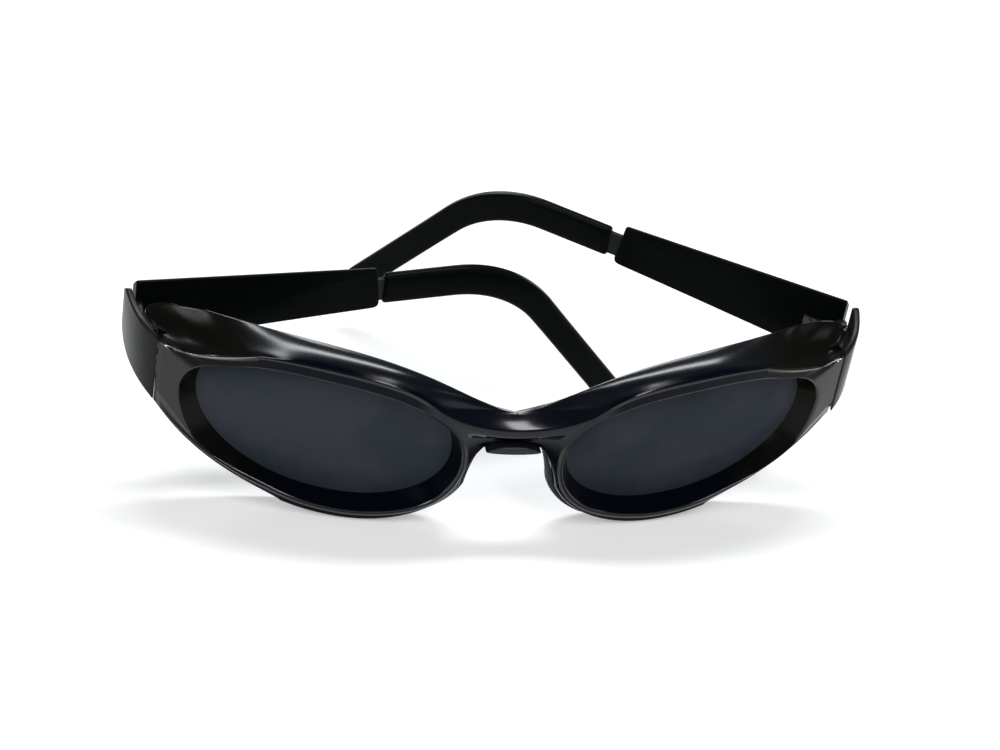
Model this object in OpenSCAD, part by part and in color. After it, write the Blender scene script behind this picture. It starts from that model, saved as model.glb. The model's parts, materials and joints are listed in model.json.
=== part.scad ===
// Wraparound goggle sunglasses with deep oval rims and leaf-shaped brow shields.
// They are drawn as they lie on a table, with both temples partly folded behind the front.
// X runs to the right, Y from the front to the back and Z up from the table.

/* [Lens openings] */
// Width of one lens opening
lens_w = 46; // [42:0.5:50]
// Height of one lens opening
lens_h = 27; // [23:0.5:30]
// Distance between the two lens openings over the nose
lens_gap = 21.8; // [20:0.2:26]
// Roundness of the openings, where 2 is an ellipse
lens_power = 2.2; // [2:0.05:2.6]
// Rise of the openings towards the outer corners, in mm for each mm of width
lens_rise = 0.085; // [0:0.005:0.12]
// Outward lean of the openings, in mm for each mm of height
lens_lean = 0.076; // [0:0.004:0.12]

/* [Lenses] */
// Thickness of a lens
lens_t = 2; // [1.6:0.1:2.6]
// Depth of the groove that holds the lens edge
groove_d = 1; // [0.7:0.05:1.3]
// Play between a lens and its groove
lens_play = 0.05; // [0.02:0.01:0.1]

/* [Front] */
// Radius of the front's wrap around the face
wrap_r = 135; // [110:1:170]
// Radius of the front's curve from brow to cheek
face_r = 88; // [70:1:120]
// Depth of the lenses behind the crest of the rims
recess = 4; // [3:0.1:5]
// Width of the rims below the lenses
rim_w = 3.3; // [2.6:0.1:4.2]
// Width of the rims beside the nose
nose_w = 3.4; // [3:0.1:4.2]
// Height of the lip between the lens openings and the brow crease
lip_h = 2.5; // [2:0.1:3.2]
// Flare of the lens openings at their outer corners
flare_out = 3.5; // [2.5:0.1:4.5]
// Flare of the lens openings beside the nose
flare_nose = 1.3; // [0.8:0.1:1.8]
// Lip of plastic behind a lens
back_lip = 0.9; // [0.7:0.1:1.4]

/* [Nose] */
// Height of the bridge
bridge_h = 6; // [5:0.1:6.6]
// Half the width of the insert under the bridge
insert_w = 5.2; // [4.6:0.1:5.6]
// Depth of the insert's lowest point below the bridge valley
insert_low = 7.8; // [7.2:0.1:8.6]
// Radius of the insert's two studs
stud_r = 0.6; // [0.5:0.05:0.7]
// Thickness of the nose pads
pad_t = 1.1; // [0.8:0.1:1.5]
// Glue line under the nose pads
pad_gap = 0.1; // [0.08:0.01:0.15]

/* [Brow shields] */
// Height of the shields above the valley over the nose
brow_h = 9.2; // [7:0.1:11]
// Width over which the brow rises from the valley, at about two thirds of its height
valley_w = 16.4; // [12:0.1:20]
// Depth of the shields behind the crest, at their outer ends
shield_d = 10; // [8:0.1:12]
// Depth of the bridge behind its crest, at the valley
valley_d = 3.7; // [3:0.1:4.4]
// Thickness of the shields along their edge
shield_t = 1.6; // [1.2:0.1:2.2]

/* [End pieces] */
// Distance of the seams outside the lens openings
seam_out = 7.4; // [6.4:0.1:9]
// Reach of the end pieces outside the seams
end_out = 5.7; // [5:0.1:7]
// Depth of the seam's front edge behind the bridge
seam_y = 11.5; // [10:0.1:13]
// Thickness of the front at the seam
seam_d = 4.2; // [3.6:0.1:5]
// Thickness of the end pieces' upper part, beside the shields
blade_t = 1.3; // [1.1:0.05:1.6]
// Gap that shows as the dark line at the seam
seam_gap = 0.15; // [0.05:0.05:0.3]
// Height of the seam's upper end above the bridge valley
seam_top = 5.7; // [5:0.1:6.5]
// Depth of the seam's lower end below the bridge valley
seam_low = 8; // [7:0.1:8.6]

/* [Hinges] */
// Distance of each hinge axis inside the end pieces' outer faces
hinge_in = 2.5; // [2.3:0.1:3]
// Depth of the hinge axes behind the bridge
hinge_y = 24.3; // [23:0.1:27]
// Height of the middle of the hinges above the bridge valley
hinge_z = 1.2; // [0:0.1:2]
// Fold of the left temple from open, as it lies
fold_left = 77; // [0:1:90]
// Fold of the right temple from open, as it lies
fold_right = 53; // [0:1:80]
// Outer radius of the fixed knuckles
knuckle_r = 1.25; // [1.1:0.05:1.6]
// Height of the whole barrel
barrel_h = 6; // [5:0.2:6.4]
// Radius of the hinge screw
screw_r = 0.6; // [0.5:0.05:0.8]
// Radial clearance of the hinge screw in the knuckles
screw_play = 0.03; // [0.01:0.01:0.08]
// Thickness of the hinge leaves
leaf_t = 0.8; // [0.6:0.05:1]
// Length of the hinge leaves from the axis
leaf_l = 7.6; // [7:0.1:9]
// Radius of a rivet's shank
rivet_r = 0.5; // [0.4:0.05:0.6]
// Radius of the locating pins at the seams
pin_r = 0.5; // [0.4:0.05:0.6]

/* [Temples] */
// Length of the wide part of each temple, from the hinge axis
temple_l = 47.4; // [40:0.5:56]
// Height of a temple at the hinge
temple_h = 13.9; // [12:0.1:14.6]
// Height of a temple at its rear end
temple_end_h = 8.9; // [8:0.1:10]
// Thickness of the temples
temple_t = 2.4; // [2.2:0.1:3.2]

/* [Ear tips] */
// Height of an ear tip at its front end
tip_h = 6.5; // [6:0.1:7.2]
// Height of an ear tip at its rear end
tip_end_h = 5.6; // [4.6:0.1:6.4]
// Thickness of an ear tip behind the bend
tip_t = 3.4; // [2.6:0.1:4]
// Distance from the hinge axis to the corner of the bend
bend_s = 75.5; // [68:0.5:82]
// Angle of the bend
bend_angle = 50; // [38:1:56]
// Radius of the bend
bend_r = 26; // [18:1:30]
// Length of an ear tip behind the corner of the bend
hook_l = 46.5; // [38:0.5:50]
// Opening of the notch between temple and ear tip on the left
notch_left = 0.9; // [0.5:0.1:6]
// Opening of the notch between temple and ear tip on the right
notch_right = 2; // [0.5:0.1:6]
// Height of the tongue
tongue_h = 4.7; // [4:0.1:5]
// Thickness of the tongue
tongue_t = 0.9; // [0.7:0.05:1.1]
// Play around the tongue in its slot
tongue_play = 0.12; // [0.08:0.02:0.2]
// Travel of the ear tips
tip_travel = 8; // [5:0.5:10]

/* [Hidden] */
// Named angles around a lens opening run from the outer corner, at 0, over the top, at 90, to the nose, at 180.

function mix(a, b, f) = a + (b - a) * f;
function clamp01(f) = min(1, max(0, f));
// Smooth change from 0 to 1 while t runs from t0 to t1
function ease(t, t0, t1) =
    let (f = clamp01((t - t0) / (t1 - t0)))
    f * f * (3 - 2 * f);
function power(v, e) = sign(v) * pow(abs(v), e);
// Angle from -180 to 180
function wrapped(t) = t > 180 ? t - 360 : t;
function curve2(a, b, c, f) = a * pow(1 - f, 2) + b * 2 * f * (1 - f) + c * f * f;
function curve3(a, b, c, d, f) =
    a * pow(1 - f, 3) + b * 3 * f * pow(1 - f, 2) + c * 3 * f * f * (1 - f) + d * pow(f, 3);

// Lens opening in the front view: half sizes, middle and sag of its ends
half_lw = lens_w / 2;
half_lh = lens_h / 2;
lens_cx = lens_gap / 2 + half_lw;
lens_cz = -7.5;
lens_sag = 0.1;
seam_x = lens_cx + half_lw + seam_out;
half_w = seam_x + end_out;
hinge_x = half_w - hinge_in;

// Point of the opening at angle t, as x and z
function opening(t) =
    let (u = half_lw * power(cos(t), 2 / lens_power),
         v = half_lh * power(sin(t), 2 / lens_power))
    [lens_cx + u + lens_lean * v,
     lens_cz + v + lens_rise * u + lens_sag * (u * u / half_lw - half_lw / 2)];
// Outward direction at angle t
function outward(t) =
    let (d = opening(t + 1) - opening(t - 1))
    [d[1], -d[0]] / norm(d);
// Front view point at a distance out from the opening
function beside(t, out) = opening(t) + outward(t) * out;
// Depth of the lenses' front face
function lens_y(p) = p[0] * p[0] / (2 * wrap_r) + pow(p[1] - lens_cz, 2) / (2 * face_r);
// Depth of the rims' crest
function crest_y(x) = x * x / (2 * wrap_r) - recess;
function at_depth(p, y) = [p[0], y, p[1]];

// Steps of the rings, and the angles where their outer edge changes
ring_n = 120;
step = 360 / ring_n;
seam_down = -33;
seam_up = 21;
shield_from = 39;
bridge_from = 141;
bridge_to = 165;
nose_from = 201;

// Flare of the opening from the lens to the crest, widest at two angles
flare_least = 0.3;
flare_out_at = -8;
flare_nose_at = 195;
function flare(t) =
    flare_least + (flare_out - flare_least) * (1 - ease(abs(wrapped(t) - flare_out_at), 10, 60))
    + (flare_nose - flare_least) * (1 - ease(abs(t - flare_nose_at), 15, 60));

// Brow edge over x, from the valley out to the peak of a shield
peak_x = seam_x - 2.7;
drop_w = 6.6;
drop_x = peak_x - drop_w;
valley_round = 5;
brow_drop = 0.9;
function brow_z(x) = brow_h * (1 - exp(-pow(abs(x) / valley_w, 1.65))) - brow_drop * ease(x, drop_x, peak_x);
function brow_y(x) =
    let (f = x * x / (x + valley_round) * (peak_x + valley_round) / (peak_x * peak_x))
    crest_y(x) + mix(valley_d, shield_d, f);
function brow_x(t) =
    let (a = opening(shield_from)[0],
         b = opening(bridge_from)[0])
    peak_x * pow(clamp01((opening(t)[0] - b) / (a - b)), 0.8);
function brow_edge(t) =
    let (x = brow_x(t))
    [x, brow_y(x), brow_z(x)];

// Middle line of the bridge, in front and behind
bridge_back_y = 1.6;
bridge_back_top = 1.2;
bridge_setback = 0.6;
bridge_swell = 1.4;
function bridge_f(t) = clamp01((t - bridge_from) / (bridge_to - bridge_from));
function bridge_front(t) =
    let (f = bridge_f(t))
    [0, mix(brow_y(0), bridge_setback - recess, sin(180 * f)), -bridge_h * f];
function bridge_back(t) =
    let (f = bridge_f(t))
    [0, bridge_back_y + bridge_swell * sin(180 * f), -mix(bridge_back_top, bridge_h, f)];

// Round corner from the underside of the bridge into the nose side, in the front view
notch_pull = 3.6;
function notch(f) =
    let (a = rim_edge(nose_from))
    curve3([0, -bridge_h], [notch_pull, -bridge_h], [2 * notch_pull, -bridge_h], [a[0], a[2]], f);
function notch_f(t) = (t - bridge_to) / (nose_from - bridge_to);

// Seam with the end piece, whose lowest part leans back
seam_bevel = 1;
bevel_h = 3.4;
function seam_front(t) =
    let (f = clamp01((wrapped(t) - seam_down) / (seam_up - seam_down)),
         z = mix(-seam_low, seam_top, f))
    [seam_x, seam_y + seam_bevel * clamp01((bevel_h - seam_low - z) / bevel_h), z];
// Outer end of a shield, from the seam's upper end back and round to the brow edge
leave_seam = [-0.6, 3.5, 0.2];
reach_brow = [9.4, 3.6, -1.7];
function shield_end(t) =
    let (f = clamp01((t - seam_up) / (shield_from - seam_up)),
         s = [seam_x, seam_y, seam_top],
         e = brow_edge(shield_from))
    curve3(s, s + leave_seam, e + reach_brow, e, f);

// Outer edge of a rim where nothing joins it
edge_setback = 1.4;
function rim_edge(t) =
    let (p = beside(t, mix(nose_w, rim_w, ease(t, 203, 232))))
    at_depth(p, crest_y(p[0]) + edge_setback);
function rim_back(t) =
    let (e = rim_edge(t))
    at_depth([e[0], e[2]], lens_y(beside(t, rim_w)) + lens_t + back_lip);

// Outer edge from the rim up to the seam's lower end, in the front view
cheek_from = 285;
cheek_pull = [-8.3, -12];
function cheek_f(t) = (t - cheek_from) / (360 + seam_down - cheek_from);
function cheek(f) =
    let (a = rim_edge(cheek_from))
    curve2([a[0], a[2]], [seam_x, -seam_low] + cheek_pull, [seam_x, -seam_low], f);

// Outer edge of the front face
function edge(t) =
    let (w = wrapped(t))
    w >= seam_down && w <= seam_up ? seam_front(t)
    : t < shield_from ? shield_end(t)
    : t <= bridge_from ? brow_edge(t)
    : t <= bridge_to ? bridge_front(t)
    : t < nose_from ? at_depth(notch(notch_f(t)), mix(bridge_front(t)[1], rim_edge(t)[1], notch_f(t)))
    : t <= cheek_from ? rim_edge(t)
    : at_depth(cheek(cheek_f(t)), mix(rim_edge(cheek_from)[1], seam_y + seam_bevel, pow(cheek_f(t), 0.7)));

// Outer edge of the back
shield_back = [0, 0.3, -shield_t];
function back_edge(t) =
    let (w = wrapped(t),
         e = edge(t))
    w >= seam_down && w <= seam_up ? [seam_x, seam_y + seam_d, e[2]]
    : t < shield_from ? mix([seam_x, seam_y + seam_d, seam_top], e + shield_back, ease(t, seam_up, shield_from))
    : t <= bridge_from ? mix(e + shield_back, bridge_back(bridge_from), ease(t, 110, bridge_from))
    : t <= bridge_to ? bridge_back(t)
    : t < nose_from ? at_depth(notch(notch_f(t)), mix(bridge_back(t)[1], rim_back(t)[1], notch_f(t)))
    : t <= cheek_from ? rim_back(t)
    : at_depth(cheek(cheek_f(t)), mix(rim_back(cheek_from)[1], seam_y + seam_d, cheek_f(t)));

function crest(t) =
    let (p = beside(t, flare(t)))
    at_depth(p, crest_y(p[0]));
// Ridge that runs from the brow crease to the seam, and along the side faces
ridge_to = 60;
ridge_pull = [-5.3, -2.1];
lip_least = 0.8;
lip_setback = 0.1;
function lip(t) =
    let (p = beside(t, flare(t) + mix(lip_least, lip_h, ease(t, 20, 60) * (1 - ease(t, 120, 165)))))
    at_depth(p, crest_y(p[0]) + lip_setback);
function ridge(t) =
    let (f = (t - seam_up) / (ridge_to - seam_up),
         a = mix(crest(seam_up), seam_front(seam_up), 0.9),
         c = lip(ridge_to),
         p = curve2([a[0], a[2]], [seam_x, seam_top] + ridge_pull, [c[0], c[2]], f))
    at_depth(p, mix(a[1], crest_y(p[0]) + lip_setback, clamp01(f * 3)));
function land(t) =
    let (w = wrapped(t))
    w > seam_down && w <= seam_up ? mix(crest(t), seam_front(t), 0.9)
    : t < ridge_to ? ridge(t)
    : mix(lip(t), mix(crest(t), edge(t), 0.9), ease(t, cheek_from, 360 + seam_down));

// Rise of the face between the ridge and its edge: hollow at the shields' ends and full elsewhere
hollow_d = 1.6;
swell_h = 0.9;
function hump(t) = mix(-hollow_d, swell_h, ease(t, 45, 90)) * ease(t, seam_up, 36) * (1 - ease(t, 110, 145));
blend = 5;
// Share of the way towards the edge, slower across so that both halves meet smoothly on the bridge
function face_f(t, f) = mix(f, 1 - (1 - f) * (1 - f), ease(t, 120, 145) * (1 - ease(t, bridge_to, 195)));
function face_point(t, k) =
    let (a = land(t),
         b = edge(t),
         f = k / (blend + 1),
         g = face_f(t, f),
         d = b - a,
         up = [0, -abs(d[2]) - 0.001, abs(d[1]) + 0.001])
    [mix(a[0], b[0], f), mix(a[1], b[1], g), mix(a[2], b[2], g)] + up / norm(up) * hump(t) * 4 * f * (1 - f);

// Closed outline of the moulding at angle t, from the lens over the front, round the edge and to the groove
groove_w = lens_t + 2 * lens_play;
back_open = 0.2;
back_slope = 1.4;
function section(t) =
    let (o = opening(t),
         g = beside(t, groove_d + lens_play),
         r = beside(t, back_open),
         s = beside(t, back_open + back_slope))
    concat([at_depth(o, lens_y(o)), crest(t), land(t)],
        [for (k = [1:blend]) face_point(t, k)],
        [edge(t), back_edge(t),
         at_depth(s, lens_y(s) + lens_t + back_lip),
         at_depth(r, lens_y(r) + groove_w + back_lip * 0.7),
         at_depth(r, lens_y(r) + groove_w), at_depth(g, lens_y(g) + groove_w), at_depth(g, lens_y(g))]);
edge_j = 3 + blend;
sections = [for (i = [0:ring_n - 1]) section(i * step)];
section_n = len(sections[0]);
front_points = [for (s = [1, -1]) for (r = sections) for (p = r) [p[0] * s, p[1], p[2]]];

// Both rings share the points of the bridge's middle line
function joined(i, j) = (j == edge_j || j == edge_j + 1) && i * step >= bridge_from && i * step <= bridge_to;
function ring_point(side, i, j) =
    let (k = (i % ring_n) * section_n + j % section_n)
    side > 0 || joined(i % ring_n, j) ? k : k + ring_n * section_n;
function ring_faces(side) =
    [for (i = [0:ring_n - 1]) for (j = [0:section_n - 1])
        if (!(j == edge_j && joined(i, j) && joined(i + 1, j)))
            let (a = ring_point(side, i, j),
                 b = ring_point(side, i, j + 1),
                 c = ring_point(side, i + 1, j + 1),
                 d = ring_point(side, i + 1, j))
            each side < 0 ? [[a, b, c], [a, c, d]] : [[c, b, a], [d, c, a]]];

// Hinges: distance of the leaves' seats from the axis, and the room round the knuckles
seat = knuckle_r + 0.02;
relief_r = knuckle_r + 0.35;
function fold(side) = side < 0 ? fold_left : fold_right;

// Temples as seen from the side
temple_top = 8.6;
temple_end_top = 5.8;
temple_front = 0.2;
temple_land = 0.7;
temple_bevel = 1.7;
temple_corner = 1;
knee_in = 13.4;
knee = temple_l - knee_in;
knee_z = -3.7;
end_rake = 1.4;

// Tongue of an ear tip, which stays held when it is drawn out, with its slot and its spring
tip_from = temple_l + end_rake - 0.1;
tongue_held = 9.2;
tongue_z = 0.45;
tongue_x = seat + temple_t / 2;
tongue_from = tip_from - tip_travel - tongue_held;
slot_from = tongue_from - 0.3;
tongue_in = 8;
spring_l = 9;
spring_from = tongue_from + 3.5;
spring_w = 0.8;
spring_h = 1;
spring_t = 0.2;
spring_room = 0.1;
function drawn(side) = side < 0 ? notch_left : notch_right;

// Ear tip along its middle line: straight, bent down, and straight again
tip_z = 0.55;
tip_n = 26;
tip_k = 16;
tip_square = 0.5;
swell_from = temple_l + 8;
swell_l = 24;
taper_l = 40;
bend_lead = bend_r * tan(bend_angle / 2);
bend_arc = bend_r * bend_angle * PI / 180;
bend_from = bend_s - bend_lead;
tip_to = bend_from + bend_arc - bend_lead + hook_l;
function tip_middle(s) =
    let (a = (s - bend_from) / bend_r * 180 / PI,
         q = s - bend_from - bend_arc + bend_lead)
    s < bend_from ? [s, tip_z, 0]
    : s < bend_from + bend_arc ? [bend_from + bend_r * sin(a), tip_z - bend_r * (1 - cos(a)), a]
    : [bend_s + q * cos(bend_angle), tip_z - q * sin(bend_angle), bend_angle];
function tip_ring(f) =
    let (s = mix(tip_from, tip_to, f),
         m = tip_middle(s),
         end = sqrt(1 - 0.9 * pow(ease(f, 0.93, 1), 2)),
         h = mix(tip_h, tip_end_h, ease(s, swell_from, swell_from + taper_l)) / 2 * end,
         w = mix(temple_t, tip_t, ease(s, swell_from, swell_from + swell_l)) / 2 * end)
    [for (q = [0:tip_k - 1])
        let (b = 360 / tip_k * q,
             u = w * power(cos(b), tip_square),
             v = h * power(sin(b), tip_square))
        [tongue_x + u, m[0] + v * sin(m[2]), m[1] + v * cos(m[2])]];
tip_rings = [for (i = [tip_n:-1:0]) tip_ring(i / tip_n)];
// Ear tip points of one side, as worn but with the temple folded
function tip_points(side) =
    let (a = fold(side))
    [for (r = tip_rings) for (p = r)
        let (x = p[0],
             y = p[1] + drawn(side))
        [side * (hinge_x + x * cos(a) - y * sin(a)), hinge_y + x * sin(a) + y * cos(a), p[2]]];

// Tilt about X that sets both rims and the left ear tip on the table
function lowest(pts, a) = min([for (p = pts) p[1] * sin(a) + p[2] * cos(a)]);
function rest_tilt(lo, hi, n) =
    let (a = (lo + hi) / 2)
    n == 0 ? a
    : lowest(front_points, a) > lowest(tip_points(-1), a) ? rest_tilt(a, hi, n - 1) : rest_tilt(lo, a, n - 1);
tilt = rest_tilt(0, 30, 24);
front_ys = [for (p = front_points) p[1] * cos(tilt) - p[2] * sin(tilt)];
rear_ys = [for (p = tip_points(1)) p[1] * cos(tilt) - p[2] * sin(tilt)];
rest = [0, -(min(front_ys) + max(rear_ys)) / 2, -lowest(front_points, tilt)];
module placed() {
    translate(rest)
    rotate([tilt, 0, 0])
    children();
}
module mirrored(side) {
    mirror([side < 0 ? 1 : 0, 0, 0])
    children();
}

dark = [0.05, 0.06, 0.09];
steel = [0.72, 0.72, 0.74];

module front_frame() {
    color(dark)
    placed()
    difference() {
        polyhedron(front_points, concat(ring_faces(1), ring_faces(-1)));
        for (s = [-1, 1]) {
            mirrored(s) pins(pin_play, pin_play);
            translate([s * stud_x, stud_y, -bridge_h - stud_in])
            cylinder(h = stud_in + stud_up + pin_play, r = stud_r + pin_play, $fn = 32);
        }
    }
}

lens_n = 64;
lens_rings = [1, 0.8, 0.55, 0.3, 0];
module lens(side) {
    mid = [lens_cx, lens_cz];
    function point(i, f, y) =
        let (p = mix(mid, beside(i * 360 / lens_n, groove_d), f))
        [p[0], lens_y(p) + y, p[1]];
    q = len(lens_rings) - 1;
    pts = [for (y = [lens_play, lens_play + lens_t])
        each concat([for (k = [0:q - 1]) for (i = [0:lens_n - 1]) point(i, lens_rings[k], y)], [point(0, 0, y)])];
    m = q * lens_n + 1;
    front = concat(
        [for (k = [0:q - 2]) for (i = [0:lens_n - 1])
            let (a = k * lens_n, j = (i + 1) % lens_n)
            each [[a + i, a + lens_n + i, a + lens_n + j], [a + i, a + lens_n + j, a + j]]],
        [for (i = [0:lens_n - 1]) [(q - 1) * lens_n + i, m - 1, (q - 1) * lens_n + (i + 1) % lens_n]]);
    back = [for (f = front) [f[2] + m, f[1] + m, f[0] + m]];
    rim = [for (i = [0:lens_n - 1])
        let (j = (i + 1) % lens_n)
        each [[i, j, j + m], [i, j + m, i + m]]];
    color([0.2, 0.22, 0.27])
    placed()
    mirrored(side)
    polyhedron(pts, concat(front, back, rim));
}

// Insert under the bridge, held by two studs
stud_x = 1.8;
stud_y = (brow_y(0) + bridge_back_y) / 2;
stud_up = 2;
stud_in = 1;
insert_from = 1 - recess;
insert_to = bridge_back_y - 0.4;
insert_gap = 0.05;
module bridge_insert() {
    fs = [for (f = [0:0.02:0.7]) if (notch(f)[0] < insert_w) f];
    top = [for (f = fs) notch(f) - [0, insert_gap]];
    end = top[len(top) - 1];
    low = [for (a = [10:10:90]) [end[0] * cos(a), mix(end[1], -insert_low, sin(a))]];
    half = concat(top, low);
    n = len(half);
    color([0.1, 0.1, 0.12])
    placed()
    union() {
        translate([0, insert_to, 0])
        rotate([90, 0, 0])
        linear_extrude(insert_to - insert_from)
        polygon(concat(half, [for (i = [n - 2:-1:1]) [-half[i][0], half[i][1]]]));
        for (s = [-1, 1])
            translate([s * stud_x, stud_y, -bridge_h - stud_in])
            cylinder(h = stud_in + stud_up, r = stud_r, $fn = 32);
    }
}

// Nose pad on the side of a rim, thickest in its middle
pad_from = 187;
pad_to = 229;
pad_n = 14;
pad_front = 0.6;
pad_rear = 0.4;
pad_least = 0.25;
pad_round = 0.7;
module nose_pad(side) {
    function ring(f) =
        let (t = mix(pad_from, pad_to, f),
             e = edge(t),
             b = back_edge(t),
             d = edge(t + 1) - edge(t - 1),
             o = [d[2], -d[0]] / norm([d[2], d[0]]),
             th = pad_gap + pad_least + (pad_t - pad_least) * sqrt(sin(180 * f)),
             y0 = e[1] + pad_front,
             y1 = b[1] - pad_rear)
        [for (q = [[y0, pad_gap], [y0 + pad_round / 7, th * 0.75], [y0 + pad_round, th],
            [y1 - pad_round, th], [y1 - pad_round / 7, th * 0.75], [y1, pad_gap]])
            [e[0] + o[0] * q[1], q[0], e[2] + o[1] * q[1]]];
    rings = [for (i = [0:pad_n]) ring(i / pad_n)];
    color([0.14, 0.15, 0.17])
    placed()
    mirrored(side)
    skin(rings);
}

// Solid through a row of closed rings
module skin(rings) {
    n = len(rings) - 1;
    k = len(rings[0]);
    sides = [for (i = [0:n - 1]) for (q = [0:k - 1])
        let (a = i * k + q, b = i * k + (q + 1) % k)
        each [[a, a + k, b + k], [a, b + k, b]]];
    polyhedron([for (r = rings) each r],
        concat(sides, [[for (q = [0:k - 1]) q]], [[for (q = [k - 1:-1:0]) n * k + q]]));
}

// Pins across the seam
pin_play = 0.02;
pin_zs = [2, -3.5];
pin_y = seam_y + seam_d / 2;
pin_in = 1.5;
module pins(grow, longer) {
    for (z = pin_zs)
        translate([seam_x - pin_in - longer, pin_y, z])
        rotate([0, 90, 0])
        cylinder(h = 2 * (pin_in + longer) + seam_gap, r = pin_r + grow, $fn = 32);
}
module end_pins(side) {
    color(steel)
    placed()
    mirrored(side)
    pins(0, 0);
}

// Hinge axis as the origin: Y runs along the open temple and X outwards
module at_hinge(side, turn) {
    placed()
    mirrored(side)
    translate([hinge_x, hinge_y, 0])
    rotate([0, 0, turn])
    children();
}

// The end piece leans inwards from the hinge to the seam. Its top and bottom are curves in the side view,
// pulled towards points given from the seam and from the rear end.
end_lean = 24;
wing_y = hinge_y - 0.2;
wing_in = 8.8;
wing_pull = [4.15, 2.7];
rear_top = [-1.5, 8.9];
rear_tall = 6.1;
rear_low = 1.5;
top_pulls = [[2.5, 1.8], [-6.1, 8.2]];
low_pulls = [[3.5, 4], [-2.6, -4.4]];
low_end = [-0.5, 0.3];
end_low = 0.6;
// Beside a shield the end piece is a blade. This shelf lies below the shield and above the hinge.
shelf_z = 4.9;
function on_wing(x, y) = [hinge_x + x * cos(end_lean) + y * sin(end_lean), hinge_y - x * sin(end_lean) + y * cos(end_lean)];
module end_piece(side) {
    a = [seam_x + seam_gap, seam_y];
    outer = [for (f = [0:0.1:1]) curve2(a, a + wing_pull, [half_w, wing_y], f)];
    top = [seam_y, seam_top];
    low = [seam_y, end_low - seam_low];
    rear = on_wing(seat, 0.35);
    color([0.08, 0.09, 0.1])
    placed()
    mirrored(side)
    difference() {
        intersection() {
            translate([0, 0, -half_w])
            linear_extrude(2 * half_w)
            polygon(concat(outer, [[rear[0], wing_y], on_wing(seat, -wing_in), [a[0], seam_y + seam_d]]));
            rotate([90, 0, 90])
            linear_extrude(2 * half_w)
            polygon(concat(
                [for (f = [0:0.125:1])
                    curve3(top, top + top_pulls[0], [wing_y, 0] + top_pulls[1], [wing_y, 0] + rear_top, f)],
                [for (f = [0.2:0.2:1])
                    curve2([wing_y, 0] + rear_top, [wing_y, rear_top[1]], [wing_y, rear_low + rear_tall], f)],
                [[wing_y, rear_low]],
                [for (f = [0:0.125:1])
                    curve3([wing_y, 0] + low_end, [wing_y, 0] + low_pulls[1], low + low_pulls[0], low, f)]));
        }
        translate([0, 0, shelf_z])
        linear_extrude(half_w)
        polygon(concat([for (p = outer) p - [blade_t, 0]],
            [[half_w - blade_t, wing_y + 1], [seam_x - pin_in, wing_y + 1], [seam_x - pin_in, seam_y - 1]]));
        pins(pin_play, pin_play);
        translate([hinge_x, hinge_y, 0])
        rotate([0, 0, -end_lean]) {
            rivets(-1, rivet_play, rivet_play);
            translate([0, 0, hinge_z]) cylinder(h = knuckle_h + 4 * knuckle_gap, r = relief_r, center = true, $fn = 32);
        }
    }
}

// Hinge leaves: the fixed one carries the outer knuckles, the other one the middle knuckle
leaf_in = seat - 0.02 - leaf_t;
knuckle_h = 2.8;
knuckle_gap = 0.1;
web_l = 1.7;
leaf_h = (barrel_h + knuckle_h) / 2 + 2 * knuckle_gap;
rivet_ys = [4, 6.8];
rivet_zs = [hinge_z - barrel_h / 2 + 1, hinge_z + 0.6];
rivet_play = 0.02;
rivet_end = 0.9;
head_r = 0.8;
head_h = 0.25;
// Rivets of one leaf, one near each corner
module rivets(dir, grow, longer) {
    for (i = [0, 1])
        translate([leaf_in, dir * rivet_ys[i], rivet_zs[i]])
        rotate([0, 90, 0])
        cylinder(h = leaf_t + rivet_end + longer, r = rivet_r + grow, $fn = 32);
}
module riveted(dir) {
    rivets(dir, 0, 0);
    for (i = [0, 1])
        translate([leaf_in - head_h, dir * rivet_ys[i], rivet_zs[i]])
        rotate([0, 90, 0])
        cylinder(h = head_h, r = head_r, $fn = 32);
}
module leaf_plate(dir) {
    y = dir < 0 ? -leaf_l : web_l;
    translate([leaf_in, y, hinge_z - barrel_h / 2])
    cube([leaf_t, leaf_l - web_l, leaf_h]);
}
module knuckle(dir, z0, z1, r) {
    translate([0, 0, z0])
    cylinder(h = z1 - z0, r = r, $fn = 48);
    translate([leaf_in, dir < 0 ? -web_l - 0.1 : 0, z0])
    cube([leaf_t - (knuckle_r - r), web_l + 0.1, z1 - z0]);
}
module screw_bore() {
    translate([0, 0, hinge_z - barrel_h])
    cylinder(h = 2 * barrel_h, r = screw_r + screw_play, $fn = 48);
}
module hinge_leaf_front(side) {
    color(steel)
    at_hinge(side, -end_lean)
    difference() {
        union() {
            leaf_plate(-1);
            knuckle(-1, hinge_z + knuckle_h / 2 + knuckle_gap, hinge_z + barrel_h / 2, knuckle_r);
            knuckle(-1, hinge_z - barrel_h / 2, hinge_z - knuckle_h / 2 - knuckle_gap, knuckle_r);
        }
        rivets(-1, rivet_play, 0.1);
        screw_bore();
    }
}
module hinge_leaf_temple(side) {
    color(steel)
    at_hinge(side, fold(side))
    difference() {
        union() {
            leaf_plate(1);
            knuckle(1, hinge_z - knuckle_h / 2, hinge_z + knuckle_h / 2, knuckle_r - 0.1);
        }
        rivets(1, rivet_play, 0.1);
        screw_bore();
    }
}
module front_leaf_rivets(side) {
    color(steel)
    at_hinge(side, -end_lean)
    riveted(-1);
}
module temple_leaf_rivets(side) {
    color(steel)
    at_hinge(side, fold(side))
    riveted(1);
}
slot_w = 0.3;
slot_z = 0.3;
head_top = 0.5;
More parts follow.
